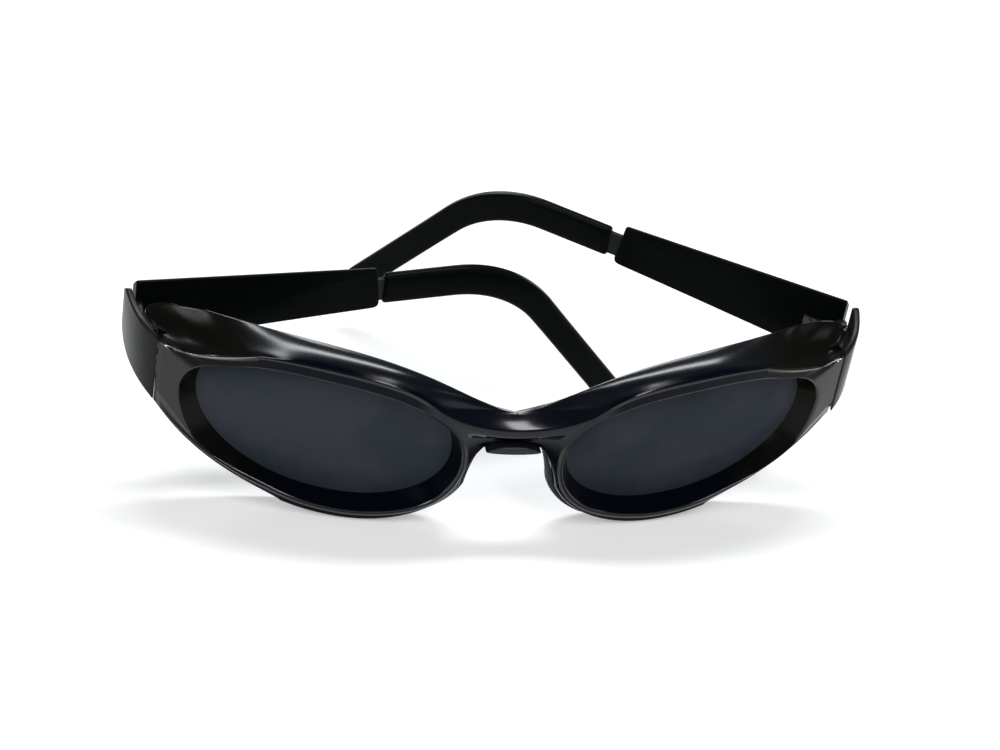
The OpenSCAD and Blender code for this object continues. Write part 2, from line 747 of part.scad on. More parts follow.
module hinge_screw(side) {
    top = hinge_z + barrel_h / 2;
    color(steel)
    at_hinge(side, -end_lean)
    difference() {
        union() {
            translate([0, 0, hinge_z - barrel_h / 2]) cylinder(h = barrel_h + slot_z, r = screw_r, $fn = 48);
            translate([0, 0, top + 0.02]) cylinder(h = head_top, r = knuckle_r - 0.15, $fn = 48);
        }
        translate([-knuckle_r, -slot_w / 2, top + slot_z]) cube([2 * knuckle_r, slot_w, head_top]);
    }
}

// Temple, flat inside and bevelled outside, as seen from the side
module temple_outline(inset) {
    offset(r = temple_corner, $fn = 32)
    offset(delta = -temple_corner)
    polygon([[temple_front, temple_top - inset],
        [temple_l, temple_end_top - inset],
        [temple_l + end_rake, temple_end_top - temple_end_h + inset],
        [knee, knee_z + inset],
        [temple_front, temple_top - temple_h + inset]]);
}
module temple(side) {
    color([0.03, 0.03, 0.04])
    at_hinge(side, fold(side))
    difference() {
        translate([seat, 0, 0])
        rotate([90, 0, 90])
        hull() {
            linear_extrude(temple_land) temple_outline(0);
            linear_extrude(temple_t) temple_outline(temple_bevel);
        }
        cylinder(h = 3 * barrel_h, r = relief_r, center = true, $fn = 32);
        rivets(1, rivet_play, rivet_play);
        tongue_block(slot_from, temple_l + 2 * end_rake, tongue_play);
        translate([tongue_x - spring_w / 2 - spring_room, spring_from - 3 * spring_room, tongue_z + tongue_h / 2])
        cube([spring_w + 2 * spring_room, spring_l + 6 * spring_room, spring_h]);
    }
}

// Tongue of the ear tip and the spring that holds it at its notches
module tongue_block(y0, y1, grow) {
    translate([tongue_x - tongue_t / 2 - grow, y0, tongue_z - tongue_h / 2 - grow])
    cube([tongue_t + 2 * grow, y1 - y0, tongue_h + 2 * grow]);
}
module tip_tongue(side) {
    color(steel)
    at_hinge(side, fold(side))
    translate([0, drawn(side), 0])
    tongue_block(tongue_from, tip_from + tongue_in, 0);
}
module detent_spring(side) {
    top = tongue_z + tongue_h / 2 + spring_h - 0.02;
    drop = spring_h - tongue_play - spring_room - spring_t;
    bow = [for (f = [0:0.1:1]) [spring_from + spring_l * f, top - drop * sin(180 * f)]];
    color(steel)
    at_hinge(side, fold(side))
    translate([tongue_x - spring_w / 2, 0, 0])
    rotate([90, 0, 90])
    linear_extrude(spring_w)
    polygon(concat(bow, [for (i = [10:-1:0]) bow[i] - [0, spring_t]]));
}

module temple_tip(side) {
    color([0.03, 0.03, 0.04])
    at_hinge(side, fold(side))
    translate([0, drawn(side), 0])
    difference() {
        skin(tip_rings);
        tongue_block(tip_from - 1, tip_from + tongue_in + 0.02, 0.02);
    }
}

front_frame();
lens(-1);  // lens_left
lens(1);  // lens_right
bridge_insert();
nose_pad(-1);  // nose_pad_left
nose_pad(1);  // nose_pad_right
end_piece(-1);  // end_piece_left
end_piece(1);  // end_piece_right
end_pins(-1);  // end_pins_left
end_pins(1);  // end_pins_right
hinge_leaf_front(-1);  // hinge_leaf_front_left
hinge_leaf_front(1);  // hinge_leaf_front_right
hinge_leaf_temple(-1);  // hinge_leaf_temple_left
hinge_leaf_temple(1);  // hinge_leaf_temple_right
hinge_screw(-1);  // hinge_screw_left
hinge_screw(1);  // hinge_screw_right
front_leaf_rivets(-1);  // front_leaf_rivets_left
front_leaf_rivets(1);  // front_leaf_rivets_right
temple_leaf_rivets(-1);  // temple_leaf_rivets_left
temple_leaf_rivets(1);  // temple_leaf_rivets_right
temple(-1);  // temple_left
temple(1);  // temple_right
tip_tongue(-1);  // tip_tongue_left
tip_tongue(1);  // tip_tongue_right
detent_spring(-1);  // detent_spring_left
detent_spring(1);  // detent_spring_right
temple_tip(-1);  // temple_tip_left
temple_tip(1);  // temple_tip_right
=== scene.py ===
# %% [markdown]
# # Goggle sunglasses
# A pair of wraparound sunglasses lies on a table with both temples partly folded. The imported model
# holds each part as an exact solid and says what moves. It could be rendered as it is, but its curves
# are short straight pieces. So the parts that show get smoother surfaces by the same formulas.

# %% The frame to build on
import json
import math
import bmesh
import bpy
import numpy as np
from mathutils import Matrix


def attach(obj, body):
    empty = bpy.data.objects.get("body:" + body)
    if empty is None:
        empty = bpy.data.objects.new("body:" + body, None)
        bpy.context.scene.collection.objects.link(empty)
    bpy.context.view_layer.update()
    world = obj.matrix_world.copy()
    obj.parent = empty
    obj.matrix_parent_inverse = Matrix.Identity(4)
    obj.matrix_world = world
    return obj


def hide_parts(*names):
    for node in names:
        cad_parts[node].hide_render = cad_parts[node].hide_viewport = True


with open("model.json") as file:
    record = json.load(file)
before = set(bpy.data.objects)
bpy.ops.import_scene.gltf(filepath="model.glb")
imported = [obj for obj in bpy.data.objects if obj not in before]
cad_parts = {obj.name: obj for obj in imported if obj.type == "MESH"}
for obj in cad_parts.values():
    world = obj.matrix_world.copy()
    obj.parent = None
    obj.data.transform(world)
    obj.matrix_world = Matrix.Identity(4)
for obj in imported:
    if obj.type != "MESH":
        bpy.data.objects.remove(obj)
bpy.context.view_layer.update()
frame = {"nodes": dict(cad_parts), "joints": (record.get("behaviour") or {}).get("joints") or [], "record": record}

MM = 0.001

# %% [markdown]
# ## The wearer's frame
# The glasses lie a little tilted. Shapes could be worked out as they lie, but then no edge would be
# level or plumb. So they are worked out upright, in millimetres from the middle of the bridge, and
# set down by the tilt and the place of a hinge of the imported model.

# %% Setting shapes down on the table
HINGE_X, HINGE_Y, HINGE_Z = 67.5, 24.3, 1.2
hinge = next(j for j in frame["joints"] if j["type"] == "hinge" and j["child"] == "left_arm")
tilt = math.atan2(-hinge["axis"][1], hinge["axis"][2])
turn = np.array([[1, 0, 0],
                 [0, math.cos(tilt), -math.sin(tilt)],
                 [0, math.sin(tilt), math.cos(tilt)]])
rest = np.array(hinge["pos_m"]) / MM - turn @ [-HINGE_X, HINGE_Y, HINGE_Z]


def set_down(points):
    """Upright millimetres to metres on the table: turn by the tilt about X, then move."""
    return (np.asarray(points, float) @ turn.T + rest) * MM


print("tilt in degrees:", round(math.degrees(tilt), 3), "place:", rest.round(3))

# %% [markdown]
# ## The camera
# The photograph was taken from the left and well above, and it is slightly rolled. A camera could be
# aimed by hand. Here its angles, distance and focal length were found by fitting points of the outline,
# so they are numbers. It comes first.

# %% Camera
AZIMUTH, ELEVATION, ROLL = np.radians([-15.175, 35.0, 10.041])
DISTANCE, SIDEWAYS, UPWARDS, FOCAL_PX = 486.04, -3.077, 6.606, 2685.4
SENSOR_MM, IMAGE_PX, NEAREST_M = 36, 1000, 0.01
back = np.array([math.sin(AZIMUTH) * math.cos(ELEVATION),
                 -math.cos(AZIMUTH) * math.cos(ELEVATION), math.sin(ELEVATION)])
right = np.array([math.cos(AZIMUTH), math.sin(AZIMUTH), 0])
up = np.cross(back, right)
cam_x = math.cos(ROLL) * right + math.sin(ROLL) * up
cam_y = -math.sin(ROLL) * right + math.cos(ROLL) * up
eye = cam_x * SIDEWAYS + cam_y * UPWARDS + back * DISTANCE

camera = bpy.data.objects.new("camera", bpy.data.cameras.new("camera"))
camera.data.sensor_width = SENSOR_MM
camera.data.lens = FOCAL_PX * SENSOR_MM / IMAGE_PX
camera.data.clip_start = NEAREST_M
matrix = np.eye(4)
matrix[:3, :3] = turn @ np.stack([cam_x, cam_y, back], 1)
matrix[:3, 3] = set_down(eye)
camera.matrix_world = Matrix(matrix.tolist())
bpy.context.scene.collection.objects.link(camera)
bpy.context.scene.camera = camera
print("focal length in mm:", round(camera.data.lens, 2), "camera at:", matrix[:3, 3].round(3))

# %% [markdown]
# ## From grids of points to pieces
# Most pieces are grids: rows of points, each row a closed outline. Points could be moved by hand, but
# numpy works out a whole grid at once from a formula. A function then joins the rows into faces.

# %% Making meshes
SIDES = {"left": -1, "right": 1}
SHARP_ANGLE = math.radians(35)
MERGE_M, NO_LENGTH_M = 1e-6, 1e-7


def make_piece(name, points, faces, body, slot, replaced, marks=None):
    """Mesh from upright points in mm, merged, turned outwards and smooth except at sharp edges.
    Marks are named numbers, one for each point, that a finish can read."""
    mesh = bpy.data.meshes.new(name)
    mesh.from_pydata(set_down(points), [], [list(f) for f in faces])
    for mark, values in (marks or {}).items():
        mesh.attributes.new(mark, "FLOAT", "POINT").data.foreach_set("value", values)
    bm = bmesh.new()
    bm.from_mesh(mesh)
    bmesh.ops.remove_doubles(bm, verts=bm.verts, dist=MERGE_M)
    bmesh.ops.dissolve_degenerate(bm, edges=bm.edges, dist=NO_LENGTH_M)
    bmesh.ops.recalc_face_normals(bm, faces=bm.faces)
    open_edges = sum(not e.is_manifold for e in bm.edges)
    bm.to_mesh(mesh)
    bm.free()
    mesh.polygons.foreach_set("use_smooth", np.ones(len(mesh.polygons), bool))
    mesh.set_sharp_from_angle(angle=SHARP_ANGLE)
    piece = bpy.data.objects.new(name, mesh)
    bpy.context.scene.collection.objects.link(piece)
    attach(piece, body)
    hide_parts(*replaced)
    print(name, "faces:", len(mesh.polygons), "open edges:", open_edges)
    return piece


def grid_faces(rows, columns, ring_rows=False):
    """Faces between neighbouring rows of closed outlines. With ring_rows, the last row joins the
    first one again."""
    i, j = np.meshgrid(np.arange(rows if ring_rows else rows - 1), np.arange(columns), indexing="ij")
    i2, j2 = (i + 1) % rows, (j + 1) % columns
    corners = [i * columns + j, i * columns + j2, i2 * columns + j2, i2 * columns + j]
    return np.stack(corners, -1).reshape(-1, 4)


def capped(rings):
    """Rows of closed outlines with a fan of faces to the middle of the first and the last one."""
    n, k = rings.shape[:2]
    points = np.concatenate([rings.reshape(-1, 3), rings[[0, -1]].mean(1)])
    q = np.arange(k)
    fans = [np.stack([np.full(k, n * k + e), base + q, base + (q + 1) % k], 1)
            for e, base in ((0, 0), (1, (n - 1) * k))]
    return points, grid_faces(n, k).tolist() + [f for fan in fans for f in fan.tolist()]


def make_front_pair(name, points, faces, slot, node):
    """A piece of the front on the right, and its mirror image on the left."""
    return [make_piece(f"{name}_{side}", points * [sign, 1, 1], faces, "front", slot,
                       [f"{node}_{side}"]) for side, sign in SIDES.items()]


# %% [markdown]
# ## The lens openings
# Each opening is a superellipse: an oval a little squarer than an ellipse. It could be drawn by hand,
# but a formula gives the point for any angle, and slices at even angles join up by themselves. The
# angle runs from the outer corner, at 0, over the top, at 90, to the nose, at 180.

# %% Openings and the surfaces that carry them
LENS_W, LENS_H, LENS_GAP, LENS_POWER = 46, 27, 21.8, 2.2
LENS_RISE, LENS_LEAN, LENS_SAG = 0.085, 0.076, 0.1
LENS_X, LENS_Z = LENS_GAP / 2 + LENS_W / 2, -7.5
WRAP_R, FACE_R, RECESS = 135, 88, 4


def power(value, exponent):
    """Power of the size of a value, with the value's sign."""
    return np.sign(value) * np.abs(value) ** exponent


def mix(a, b, f):
    """The value that lies a share f of the way from a to b."""
    return a + (b - a) * f


def ease(t, t0, t1):
    """Smooth change from 0 to 1 while t runs from t0 to t1: 3 f squared minus 2 f cubed."""
    f = np.clip((t - t0) / (t1 - t0), 0, 1)
    return f * f * (3 - 2 * f)


def hump(t, start, full, fall, end):
    """Smooth change from 0 at start to 1 at full, and from 1 at fall back to 0 at end."""
    return ease(t, start, full) * (1 - ease(t, fall, end))


def opening(t):
    """Superellipse, sheared by rise and lean, with a slight sag of its ends. Gives x and z."""
    a = np.radians(t)
    u = LENS_W / 2 * power(np.cos(a), 2 / LENS_POWER)
    v = LENS_H / 2 * power(np.sin(a), 2 / LENS_POWER)
    return np.stack([LENS_X + u + LENS_LEAN * v,
                     LENS_Z + v + LENS_RISE * u + LENS_SAG * (u * u / (LENS_W / 2) - LENS_W / 4)], -1)


def beside(t, out):
    """Point at a distance out from the opening, square to its edge."""
    d = opening(t + 1) - opening(t - 1)
    d = d / np.linalg.norm(d, axis=-1, keepdims=True)
    return opening(t) + np.stack([d[..., 1], -d[..., 0]], -1) * np.reshape(out, (-1, 1))


def lens_y(p):
    """Depth of the lens surface: a parabola across the face and another from brow to cheek."""
    return p[..., 0] ** 2 / (2 * WRAP_R) + (p[..., 1] - LENS_Z) ** 2 / (2 * FACE_R)


def crest_y(x):
    """Depth of the crest: the same parabola across the face, in front by the recess."""
    return x * x / (2 * WRAP_R) - RECESS


def at_depth(p, y):
    """Front view point x, z with a depth y."""
    return np.stack([p[..., 0], np.broadcast_to(y, p[..., 0].shape), p[..., 1]], -1)


def point(curve, t):
    """One point of a curve that takes angles."""
    return curve(np.array([float(t)]))[0]


print("ends of the right opening:", point(opening, 180).round(2), point(opening, 0).round(2))

# %% [markdown]
# ## The front moulding
# The front is one glossy moulding. From each lens a bevel flares out to a crest. A narrow lip follows,
# then the hollow brow shields, which sweep back to leaf-shaped ends, and the bridge between them. It
# could be sculpted, but gloss shows each small wave at once. So each line on it is a formula, and
# slices over these lines make the surface. First come the edge of the brow, one side of a bell curve,
# and the bridge, half a sine.

# %% Brow edge and bridge
SHIELD_FROM, BRIDGE_FROM, BRIDGE_TO = 39, 141, 165
BROW_H, VALLEY_W, SHIELD_D, VALLEY_D, PEAK_X = 9.2, 16.4, 10, 3.7, 61.6
VALLEY_ROUND, BROW_DROP, DROP_FROM, BELL_POWER, SPACING_POWER = 5, 0.9, 55, 1.65, 0.8
BRIDGE_H, BRIDGE_SWELL, BACK_Y, BACK_SWELL, BACK_TOP = 6, 0.6, 1.6, 1.4, 1.2


def brow_edge(t):
    """Upper edge of a shield: it rises by 1 minus a bell curve, and drops a little at its peak."""
    a, b = opening(np.array(SHIELD_FROM))[0], opening(np.array(BRIDGE_FROM))[0]
    x = PEAK_X * np.clip((opening(t)[..., 0] - b) / (a - b), 0, 1) ** SPACING_POWER
    z = BROW_H * (1 - np.exp(-(x / VALLEY_W) ** BELL_POWER)) - BROW_DROP * ease(x, DROP_FROM, PEAK_X)
    f = x * x / (x + VALLEY_ROUND) * (PEAK_X + VALLEY_ROUND) / PEAK_X ** 2
    return np.stack([x, crest_y(x) + mix(VALLEY_D, SHIELD_D, f), z], -1)


def bridge_line(t, y, swollen_y, top):
    """Middle line of the bridge, down from its top. Half a sine makes it swell halfway."""
    f = np.clip((t - BRIDGE_FROM) / (BRIDGE_TO - BRIDGE_FROM), 0, 1)
    return np.stack([0 * f, mix(y, swollen_y, np.sin(np.pi * f)), -mix(top, BRIDGE_H, f)], -1)


def bridge_front(t):
    """The line in front, which swells forward."""
    return bridge_line(t, VALLEY_D - RECESS, BRIDGE_SWELL - RECESS, 0)


def bridge_back(t):
    """The line behind, which swells back."""
    return bridge_line(t, BACK_Y, BACK_Y + BACK_SWELL, BACK_TOP)


print("brow peak at x, y, z:", point(brow_edge, SHIELD_FROM).round(2))

# %% [markdown]
# ## Rim, notch and cheek
# Beside the nose and below the lens is a plain rim. A round notch joins it to the bridge, and a long
# cheek to the seam. These could be arcs of circles, but an arc meets its neighbour with a jump in its
# bend. A curve pulled by points in between leaves both ends the right way.

# %% Rim, notch and cheek
RIM_W, NOSE_W, EDGE_SETBACK, LENS_T, BACK_LIP = 3.3, 3.4, 1.4, 2, 0.9
NOSE_W_TO, RIM_W_FROM, NOSE_FROM, CHEEK_FROM = 203, 232, 201, 285
SEAM_X, SEAM_LOW, NOTCH_PULLS, CHEEK_PULL = 64.3, 8, (3.6, 7.2), (8.3, 12)


def pulled_curve(points, f):
    """Curve from the first to the last point, pulled by those between. Each point counts by its
    binomial number, times f to its number, times 1 - f to the number of points after it."""
    f = np.reshape(f, (-1, 1))
    n = len(points) - 1
    return sum(math.comb(n, k) * (1 - f) ** (n - k) * f ** k * np.asarray(p, float)
               for k, p in enumerate(points))


def rim_edge(t):
    """Outer edge of a plain rim: its width away from the opening, and a little behind the crest."""
    p = beside(t, mix(NOSE_W, RIM_W, ease(t, NOSE_W_TO, RIM_W_FROM)))
    return at_depth(p, crest_y(p[..., 0]) + EDGE_SETBACK)


def rim_back(t):
    """The same edge behind, where a thin lip covers the back of the lens."""
    e = rim_edge(t)
    return at_depth(e[..., [0, 2]], lens_y(beside(t, RIM_W)) + LENS_T + BACK_LIP)


nose_corner, cheek_corner = point(rim_edge, NOSE_FROM), point(rim_edge, CHEEK_FROM)


def notch(f):
    """Round corner from under the bridge into the nose side."""
    pulls = [(x, -BRIDGE_H) for x in NOTCH_PULLS]
    return pulled_curve([(0, -BRIDGE_H), *pulls, nose_corner[[0, 2]]], f)


def cheek(f):
    """Curve from the lower rim out to the seam's lower end."""
    pull = (SEAM_X - CHEEK_PULL[0], -SEAM_LOW - CHEEK_PULL[1])
    return pulled_curve([cheek_corner[[0, 2]], pull, (SEAM_X, -SEAM_LOW)], f)


print("nose corner:", nose_corner.round(2), "cheek corner:", cheek_corner.round(2))

# %% [markdown]
# ## Seam and shield end
# A straight seam parts the front from its end piece, and above it the shield ends in a leaf-shaped
# tip. The tip could be drawn in one view and extruded, but it turns in all three directions. So it is
# a pulled curve in space.

# %% Seam and shield end
SEAM_DOWN, SEAM_UP = -33, 21
SEAM_Y, SEAM_D, SEAM_TOP, SEAM_BEVEL, BEVEL_H = 11.5, 4.2, 5.7, 1, 3.4
LEAVE_SEAM, REACH_BROW = np.array([-0.6, 3.5, 0.2]), np.array([9.4, 3.6, -1.7])


def wrapped(t):
    """The same angle, counted from -180 to 180."""
    return np.where(t > 180, t - 360, t)


def on_seam(t):
    """Whether the outer edge is the seam at this angle."""
    return (wrapped(t) >= SEAM_DOWN) & (wrapped(t) <= SEAM_UP)


def seam_line(t):
    """Front edge of the seam with the end piece: straight, and its lowest part leans back."""
    f = np.clip((wrapped(t) - SEAM_DOWN) / (SEAM_UP - SEAM_DOWN), 0, 1)
    z = mix(-SEAM_LOW, SEAM_TOP, f)
    y = SEAM_Y + SEAM_BEVEL * np.clip((BEVEL_H - SEAM_LOW - z) / BEVEL_H, 0, 1)
    return np.stack([SEAM_X + 0 * z, y, z], -1)


def shield_end(t):
    """Outer end of a shield: out from the seam's upper end and round to the brow edge."""
    f = np.clip((t - SEAM_UP) / (SHIELD_FROM - SEAM_UP), 0, 1)
    e = point(brow_edge, SHIELD_FROM)
    s = np.array([SEAM_X, SEAM_Y, SEAM_TOP])
    return pulled_curve([s, s + LEAVE_SEAM, e + REACH_BROW, e], f)


print("leaf tip at x =", shield_end(np.linspace(SEAM_UP, SHIELD_FROM, 50))[:, 0].max().round(2))

# %% [markdown]
# ## The whole outer edge
# Going round, the edge is the seam, the shield's end, the brow, the bridge, the notch, the rim and the
# cheek. They could be joined end to end, but slices ask for a point by its angle. So the angle picks
# the curve, in front and a wall's thickness behind.

# %% Outer edge in front and behind
SHIELD_T, SHIELD_LAG, CHEEK_POWER, MERGE_FROM = 1.6, 0.3, 0.7, 110


def stretches(t):
    """Which stretch of the outer edge an angle lies on, as columns to choose by."""
    chosen = (on_seam(t), (t > SEAM_UP) & (t < SHIELD_FROM),
              (t >= SHIELD_FROM) & (t <= BRIDGE_FROM), (t > BRIDGE_FROM) & (t <= BRIDGE_TO),
              (t > BRIDGE_TO) & (t < NOSE_FROM), (t >= NOSE_FROM) & (t <= CHEEK_FROM))
    return [c[..., None] for c in chosen]


def edge_shares(t):
    """Shares of the way along the notch and along the cheek."""
    return ((t - BRIDGE_TO) / (NOSE_FROM - BRIDGE_TO),
            np.clip((t - CHEEK_FROM) / (360 + SEAM_DOWN - CHEEK_FROM), 0, 1))


def edge(t):
    """Outer edge of the front face: the curve of the angle's stretch, or else the cheek."""
    nf, cf = edge_shares(t)
    nose = at_depth(notch(nf), mix(bridge_front(t)[:, 1], rim_edge(t)[:, 1], nf))
    low = at_depth(cheek(cf), mix(cheek_corner[1], SEAM_Y + SEAM_BEVEL, cf ** CHEEK_POWER))
    return np.select(stretches(t), [seam_line(t), shield_end(t), brow_edge(t), bridge_front(t), nose,
                                    rim_edge(t)], low)


def back_edge(t):
    """Outer edge of the back, a wall's thickness behind the front face."""
    e = edge(t)
    behind = e + [0, SHIELD_LAG, -SHIELD_T]
    seam = np.stack([SEAM_X + 0 * t, SEAM_Y + SEAM_D + 0 * t, e[:, 2]], -1)
    top = np.array([SEAM_X, SEAM_Y + SEAM_D, SEAM_TOP])
    nf, cf = edge_shares(t)
    nose = at_depth(notch(nf), mix(bridge_back(t)[:, 1], rim_back(t)[:, 1], nf))
    low = at_depth(cheek(cf), mix(point(rim_back, CHEEK_FROM)[1], SEAM_Y + SEAM_D, cf))
    first = point(bridge_back, BRIDGE_FROM)
    return np.select(stretches(t), [seam, mix(top, behind, ease(t, SEAM_UP, SHIELD_FROM)[:, None]),
                                    mix(behind, first, ease(t, MERGE_FROM, BRIDGE_FROM)[:, None]),
                                    bridge_back(t), nose, rim_back(t)], low)


print("lowest point of the edge: z =", edge(np.arange(360.0))[:, 2].min().round(2))

# %% [markdown]
# ## Crest, lip and ridge
# Three lines catch the light: the crest, where the bevel ends, the lip outside it, and a ridge from the
# brow down to the seam. They could be creases on a smooth surface, but then they would lie where
# its faces happen to end. Here they are curves that the slices pass through.

# %% Crest, lip and ridge
FLARE_OUT, FLARE_NOSE, FLARE_LEAST = 3.5, 1.3, 0.3
OUT_AT, NOSE_AT, OUT_HOLD, NOSE_HOLD, FLARE_REACH = -8, 195, 10, 15, 60
LIP_H, LIP_LEAST, LIP_SETBACK, LIP_AT = 2.5, 0.8, 0.1, (20, 60, 120, 165)
RIDGE_TO, RIDGE_PULL, RIDGE_LEVEL, OUTWARD = 60, (5.3, 2.1), 3, 0.9


def flare(t):
    """Width of the bevel: wide at the outer corner, medium beside the nose, slight elsewhere."""
    out = 1 - ease(abs(wrapped(t) - OUT_AT), OUT_HOLD, FLARE_REACH)
    nose = 1 - ease(abs(t - NOSE_AT), NOSE_HOLD, FLARE_REACH)
    return FLARE_LEAST + (FLARE_OUT - FLARE_LEAST) * out + (FLARE_NOSE - FLARE_LEAST) * nose


def crest(t):
    """Top of the bevel, which is the frontmost line."""
    p = beside(t, flare(t))
    return at_depth(p, crest_y(p[:, 0]))


def lip(t):
    """Outer line of the lip, which is widest over the lens."""
    p = beside(t, flare(t) + mix(LIP_LEAST, LIP_H, hump(t, *LIP_AT)))
    return at_depth(p, crest_y(p[:, 0]) + LIP_SETBACK)


def ridge(t):
    """Highlight ridge from the brow crease down to the seam."""
    f = (t - SEAM_UP) / (RIDGE_TO - SEAM_UP)
    a = mix(point(crest, SEAM_UP), point(seam_line, SEAM_UP), OUTWARD)
    c = point(lip, RIDGE_TO)
    pull = (SEAM_X - RIDGE_PULL[0], SEAM_TOP - RIDGE_PULL[1])
    p = pulled_curve([(a[0], a[2]), pull, (c[0], c[2])], f)
    return at_depth(p, mix(a[1], crest_y(p[:, 0]) + LIP_SETBACK, np.clip(f * RIDGE_LEVEL, 0, 1)))


def land(t):
    """Line between rim and face: near the seam, then the ridge, then the lip, and near the cheek."""
    w = wrapped(t)
    side = mix(crest(t), seam_line(t), OUTWARD)
    nearing = ease(t, CHEEK_FROM, 360 + SEAM_DOWN)[:, None]
    rest_of = mix(lip(t), mix(crest(t), edge(t), OUTWARD), nearing)
    return np.select([((w > SEAM_DOWN) & (w <= SEAM_UP))[:, None], (t < RIDGE_TO)[:, None]],
                     [side, ridge(t)], rest_of)


print("ridge meets the seam at:", point(land, SEAM_UP).round(2))

# %% [markdown]
# ## The face
# Outside the land the shields are hollow and the brow swells. A modifier could push a straight sheet
# in and out, but both halves would meet in a crease on the bridge. Here each point lies a share of the
# way across, raised or sunk most at halfway, and on the bridge the shares run level.

# %% The curved face
HOLLOW, SWELL, TURN_AT, SWELL_AT = -1.6, 0.9, (45, 90), (SEAM_UP, 36, 110, 145)
LEVEL_AT, NO_ZERO = (120, 145, BRIDGE_TO, 195), 0.001


def face(t, f):
    """Face between the land and the edge, for all angles t and shares f: straight, plus a swell or a
    hollow of 4 f (1 - f), which is highest halfway, and level where both halves meet."""
    a, b = land(t)[:, None], edge(t)[:, None]
    g = mix(f, 1 - (1 - f) ** 2, hump(t, *LEVEL_AT)[:, None])
    d = b - a
    rise = np.stack([0 * d[..., 0], -abs(d[..., 2]) - NO_ZERO, abs(d[..., 1]) + NO_ZERO], -1)
    rise = rise / np.linalg.norm(rise, axis=-1, keepdims=True)
    swell = mix(HOLLOW, SWELL, ease(t, *TURN_AT)) * hump(t, *SWELL_AT)
    return mix(a, b, np.stack([f, g, g], -1)) + rise * (swell[:, None] * 4 * f * (1 - f))[..., None]


print("middle of the brow:", face(np.array([90.0]), np.array([[0.5]]))[0, 0].round(2))

# %% [markdown]
# ## Slices round the rim
# A slice runs from the lens edge over the bevel, the lip, the face and the back down into the groove
# that holds the lens. A Bevel modifier could round its corners, but at the seam they stay nearly sharp.
# So each corner of each slice gets a radius of its own.

# %% Slices
RING_N, FACE_STEPS, CORNER_STEPS = 360, 26, 5
RUN_STEPS, FACE_RUN = (6, 5, FACE_STEPS, 4, 10, 2, 2, 2, 2, 2), 2
PLACES = ("bevel", "crest", "lip", "land", "face", "edge", "wall", "back")
GROOVE_D, LENS_PLAY, LIP_IN, LIP_OUT, LIP_SHARE = 1, 0.05, 0.2, 1.6, 0.7
CREST_ROUND, LAND_ROUND, EDGE_ROUND, CHEEK_ROUND, SEAM_ROUND = 0.45, 0.5, 0.7, 0.55, 0.12
BACK_ROUND, SEAM_BACK_ROUND, REAR_ROUND, LIP_ROUND = 0.5, 0.1, 0.4, 0.2
CHEEK_ROUND_AT, BRIDGE_FADE, MOST_OF_RUN, TINY = -60, 8, 0.45, 1e-6


def arc(a, b, c, h):
    """Arc from a to c past the corner b, at shares h: (1 - h) squared, 2 h (1 - h) and h squared."""
    return a * (1 - h) ** 2 + b * 2 * h * (1 - h) + c * h * h


def corners_of(t):
    """Corners of the slice at each angle, each with the radius of its rounding."""
    g, r, s = (beside(t, w) for w in (GROOVE_D + LENS_PLAY, LIP_IN, LIP_OUT))
    o, groove = opening(t), LENS_T + 2 * LENS_PLAY
    soft = 1 - hump(t, BRIDGE_FROM - BRIDGE_FADE, BRIDGE_FROM, BRIDGE_TO, BRIDGE_TO + BRIDGE_FADE)
    edge_round = mix(EDGE_ROUND, CHEEK_ROUND, ease(wrapped(t), CHEEK_ROUND_AT, SEAM_DOWN)) * soft
    return [(at_depth(o, lens_y(o)), 0), (crest(t), CREST_ROUND), (land(t), LAND_ROUND),
            (edge(t), np.where(on_seam(t), SEAM_ROUND, edge_round)),
            (back_edge(t), np.where(on_seam(t), SEAM_BACK_ROUND, BACK_ROUND * soft)),
            (at_depth(s, lens_y(s) + LENS_T + BACK_LIP), REAR_ROUND),
            (at_depth(r, lens_y(r) + groove + BACK_LIP * LIP_SHARE), LIP_ROUND),
            (at_depth(r, lens_y(r) + groove), 0),
            (at_depth(g, lens_y(g) + groove), 0), (at_depth(g, lens_y(g)), 0)]


def slices(t):
    """Closed outline at each angle: straight runs and the curved face, with an arc at each corner.
    Also says at which point each arc and run begins."""
    corners = corners_of(t)
    runs, parts = [], []
    for k, (p, cut) in enumerate(corners):
        q, next_cut = corners[(k + 1) % len(corners)]
        length = np.maximum(np.linalg.norm(q - p, axis=-1), TINY)
        a = np.minimum(cut, MOST_OF_RUN * length) / length
        b = 1 - np.minimum(next_cut, MOST_OF_RUN * length) / length
        f = mix(a[:, None], b[:, None], np.linspace(0, 1, RUN_STEPS[k]))
        runs.append(face(t, f) if k == FACE_RUN else mix(p[:, None], q[:, None], f[..., None]))
    h = np.linspace(0, 1, CORNER_STEPS + 2)[1:-1][:, None]
    for k, (p, cut) in enumerate(corners):
        if np.any(np.asarray(cut) > 0):
            parts.append(arc(runs[k - 1][:, -1:], p[:, None], runs[k][:, :1], h))
        parts.append(runs[k])
    begins = np.cumsum([0] + [part.shape[1] for part in parts])
    return np.concatenate(parts, 1), dict(zip(PLACES, begins))


angles = np.arange(RING_N) * 360.0 / RING_N
rows, at = slices(angles)
print("slices, points in each:", rows.shape[:2], "parts begin at:", at)
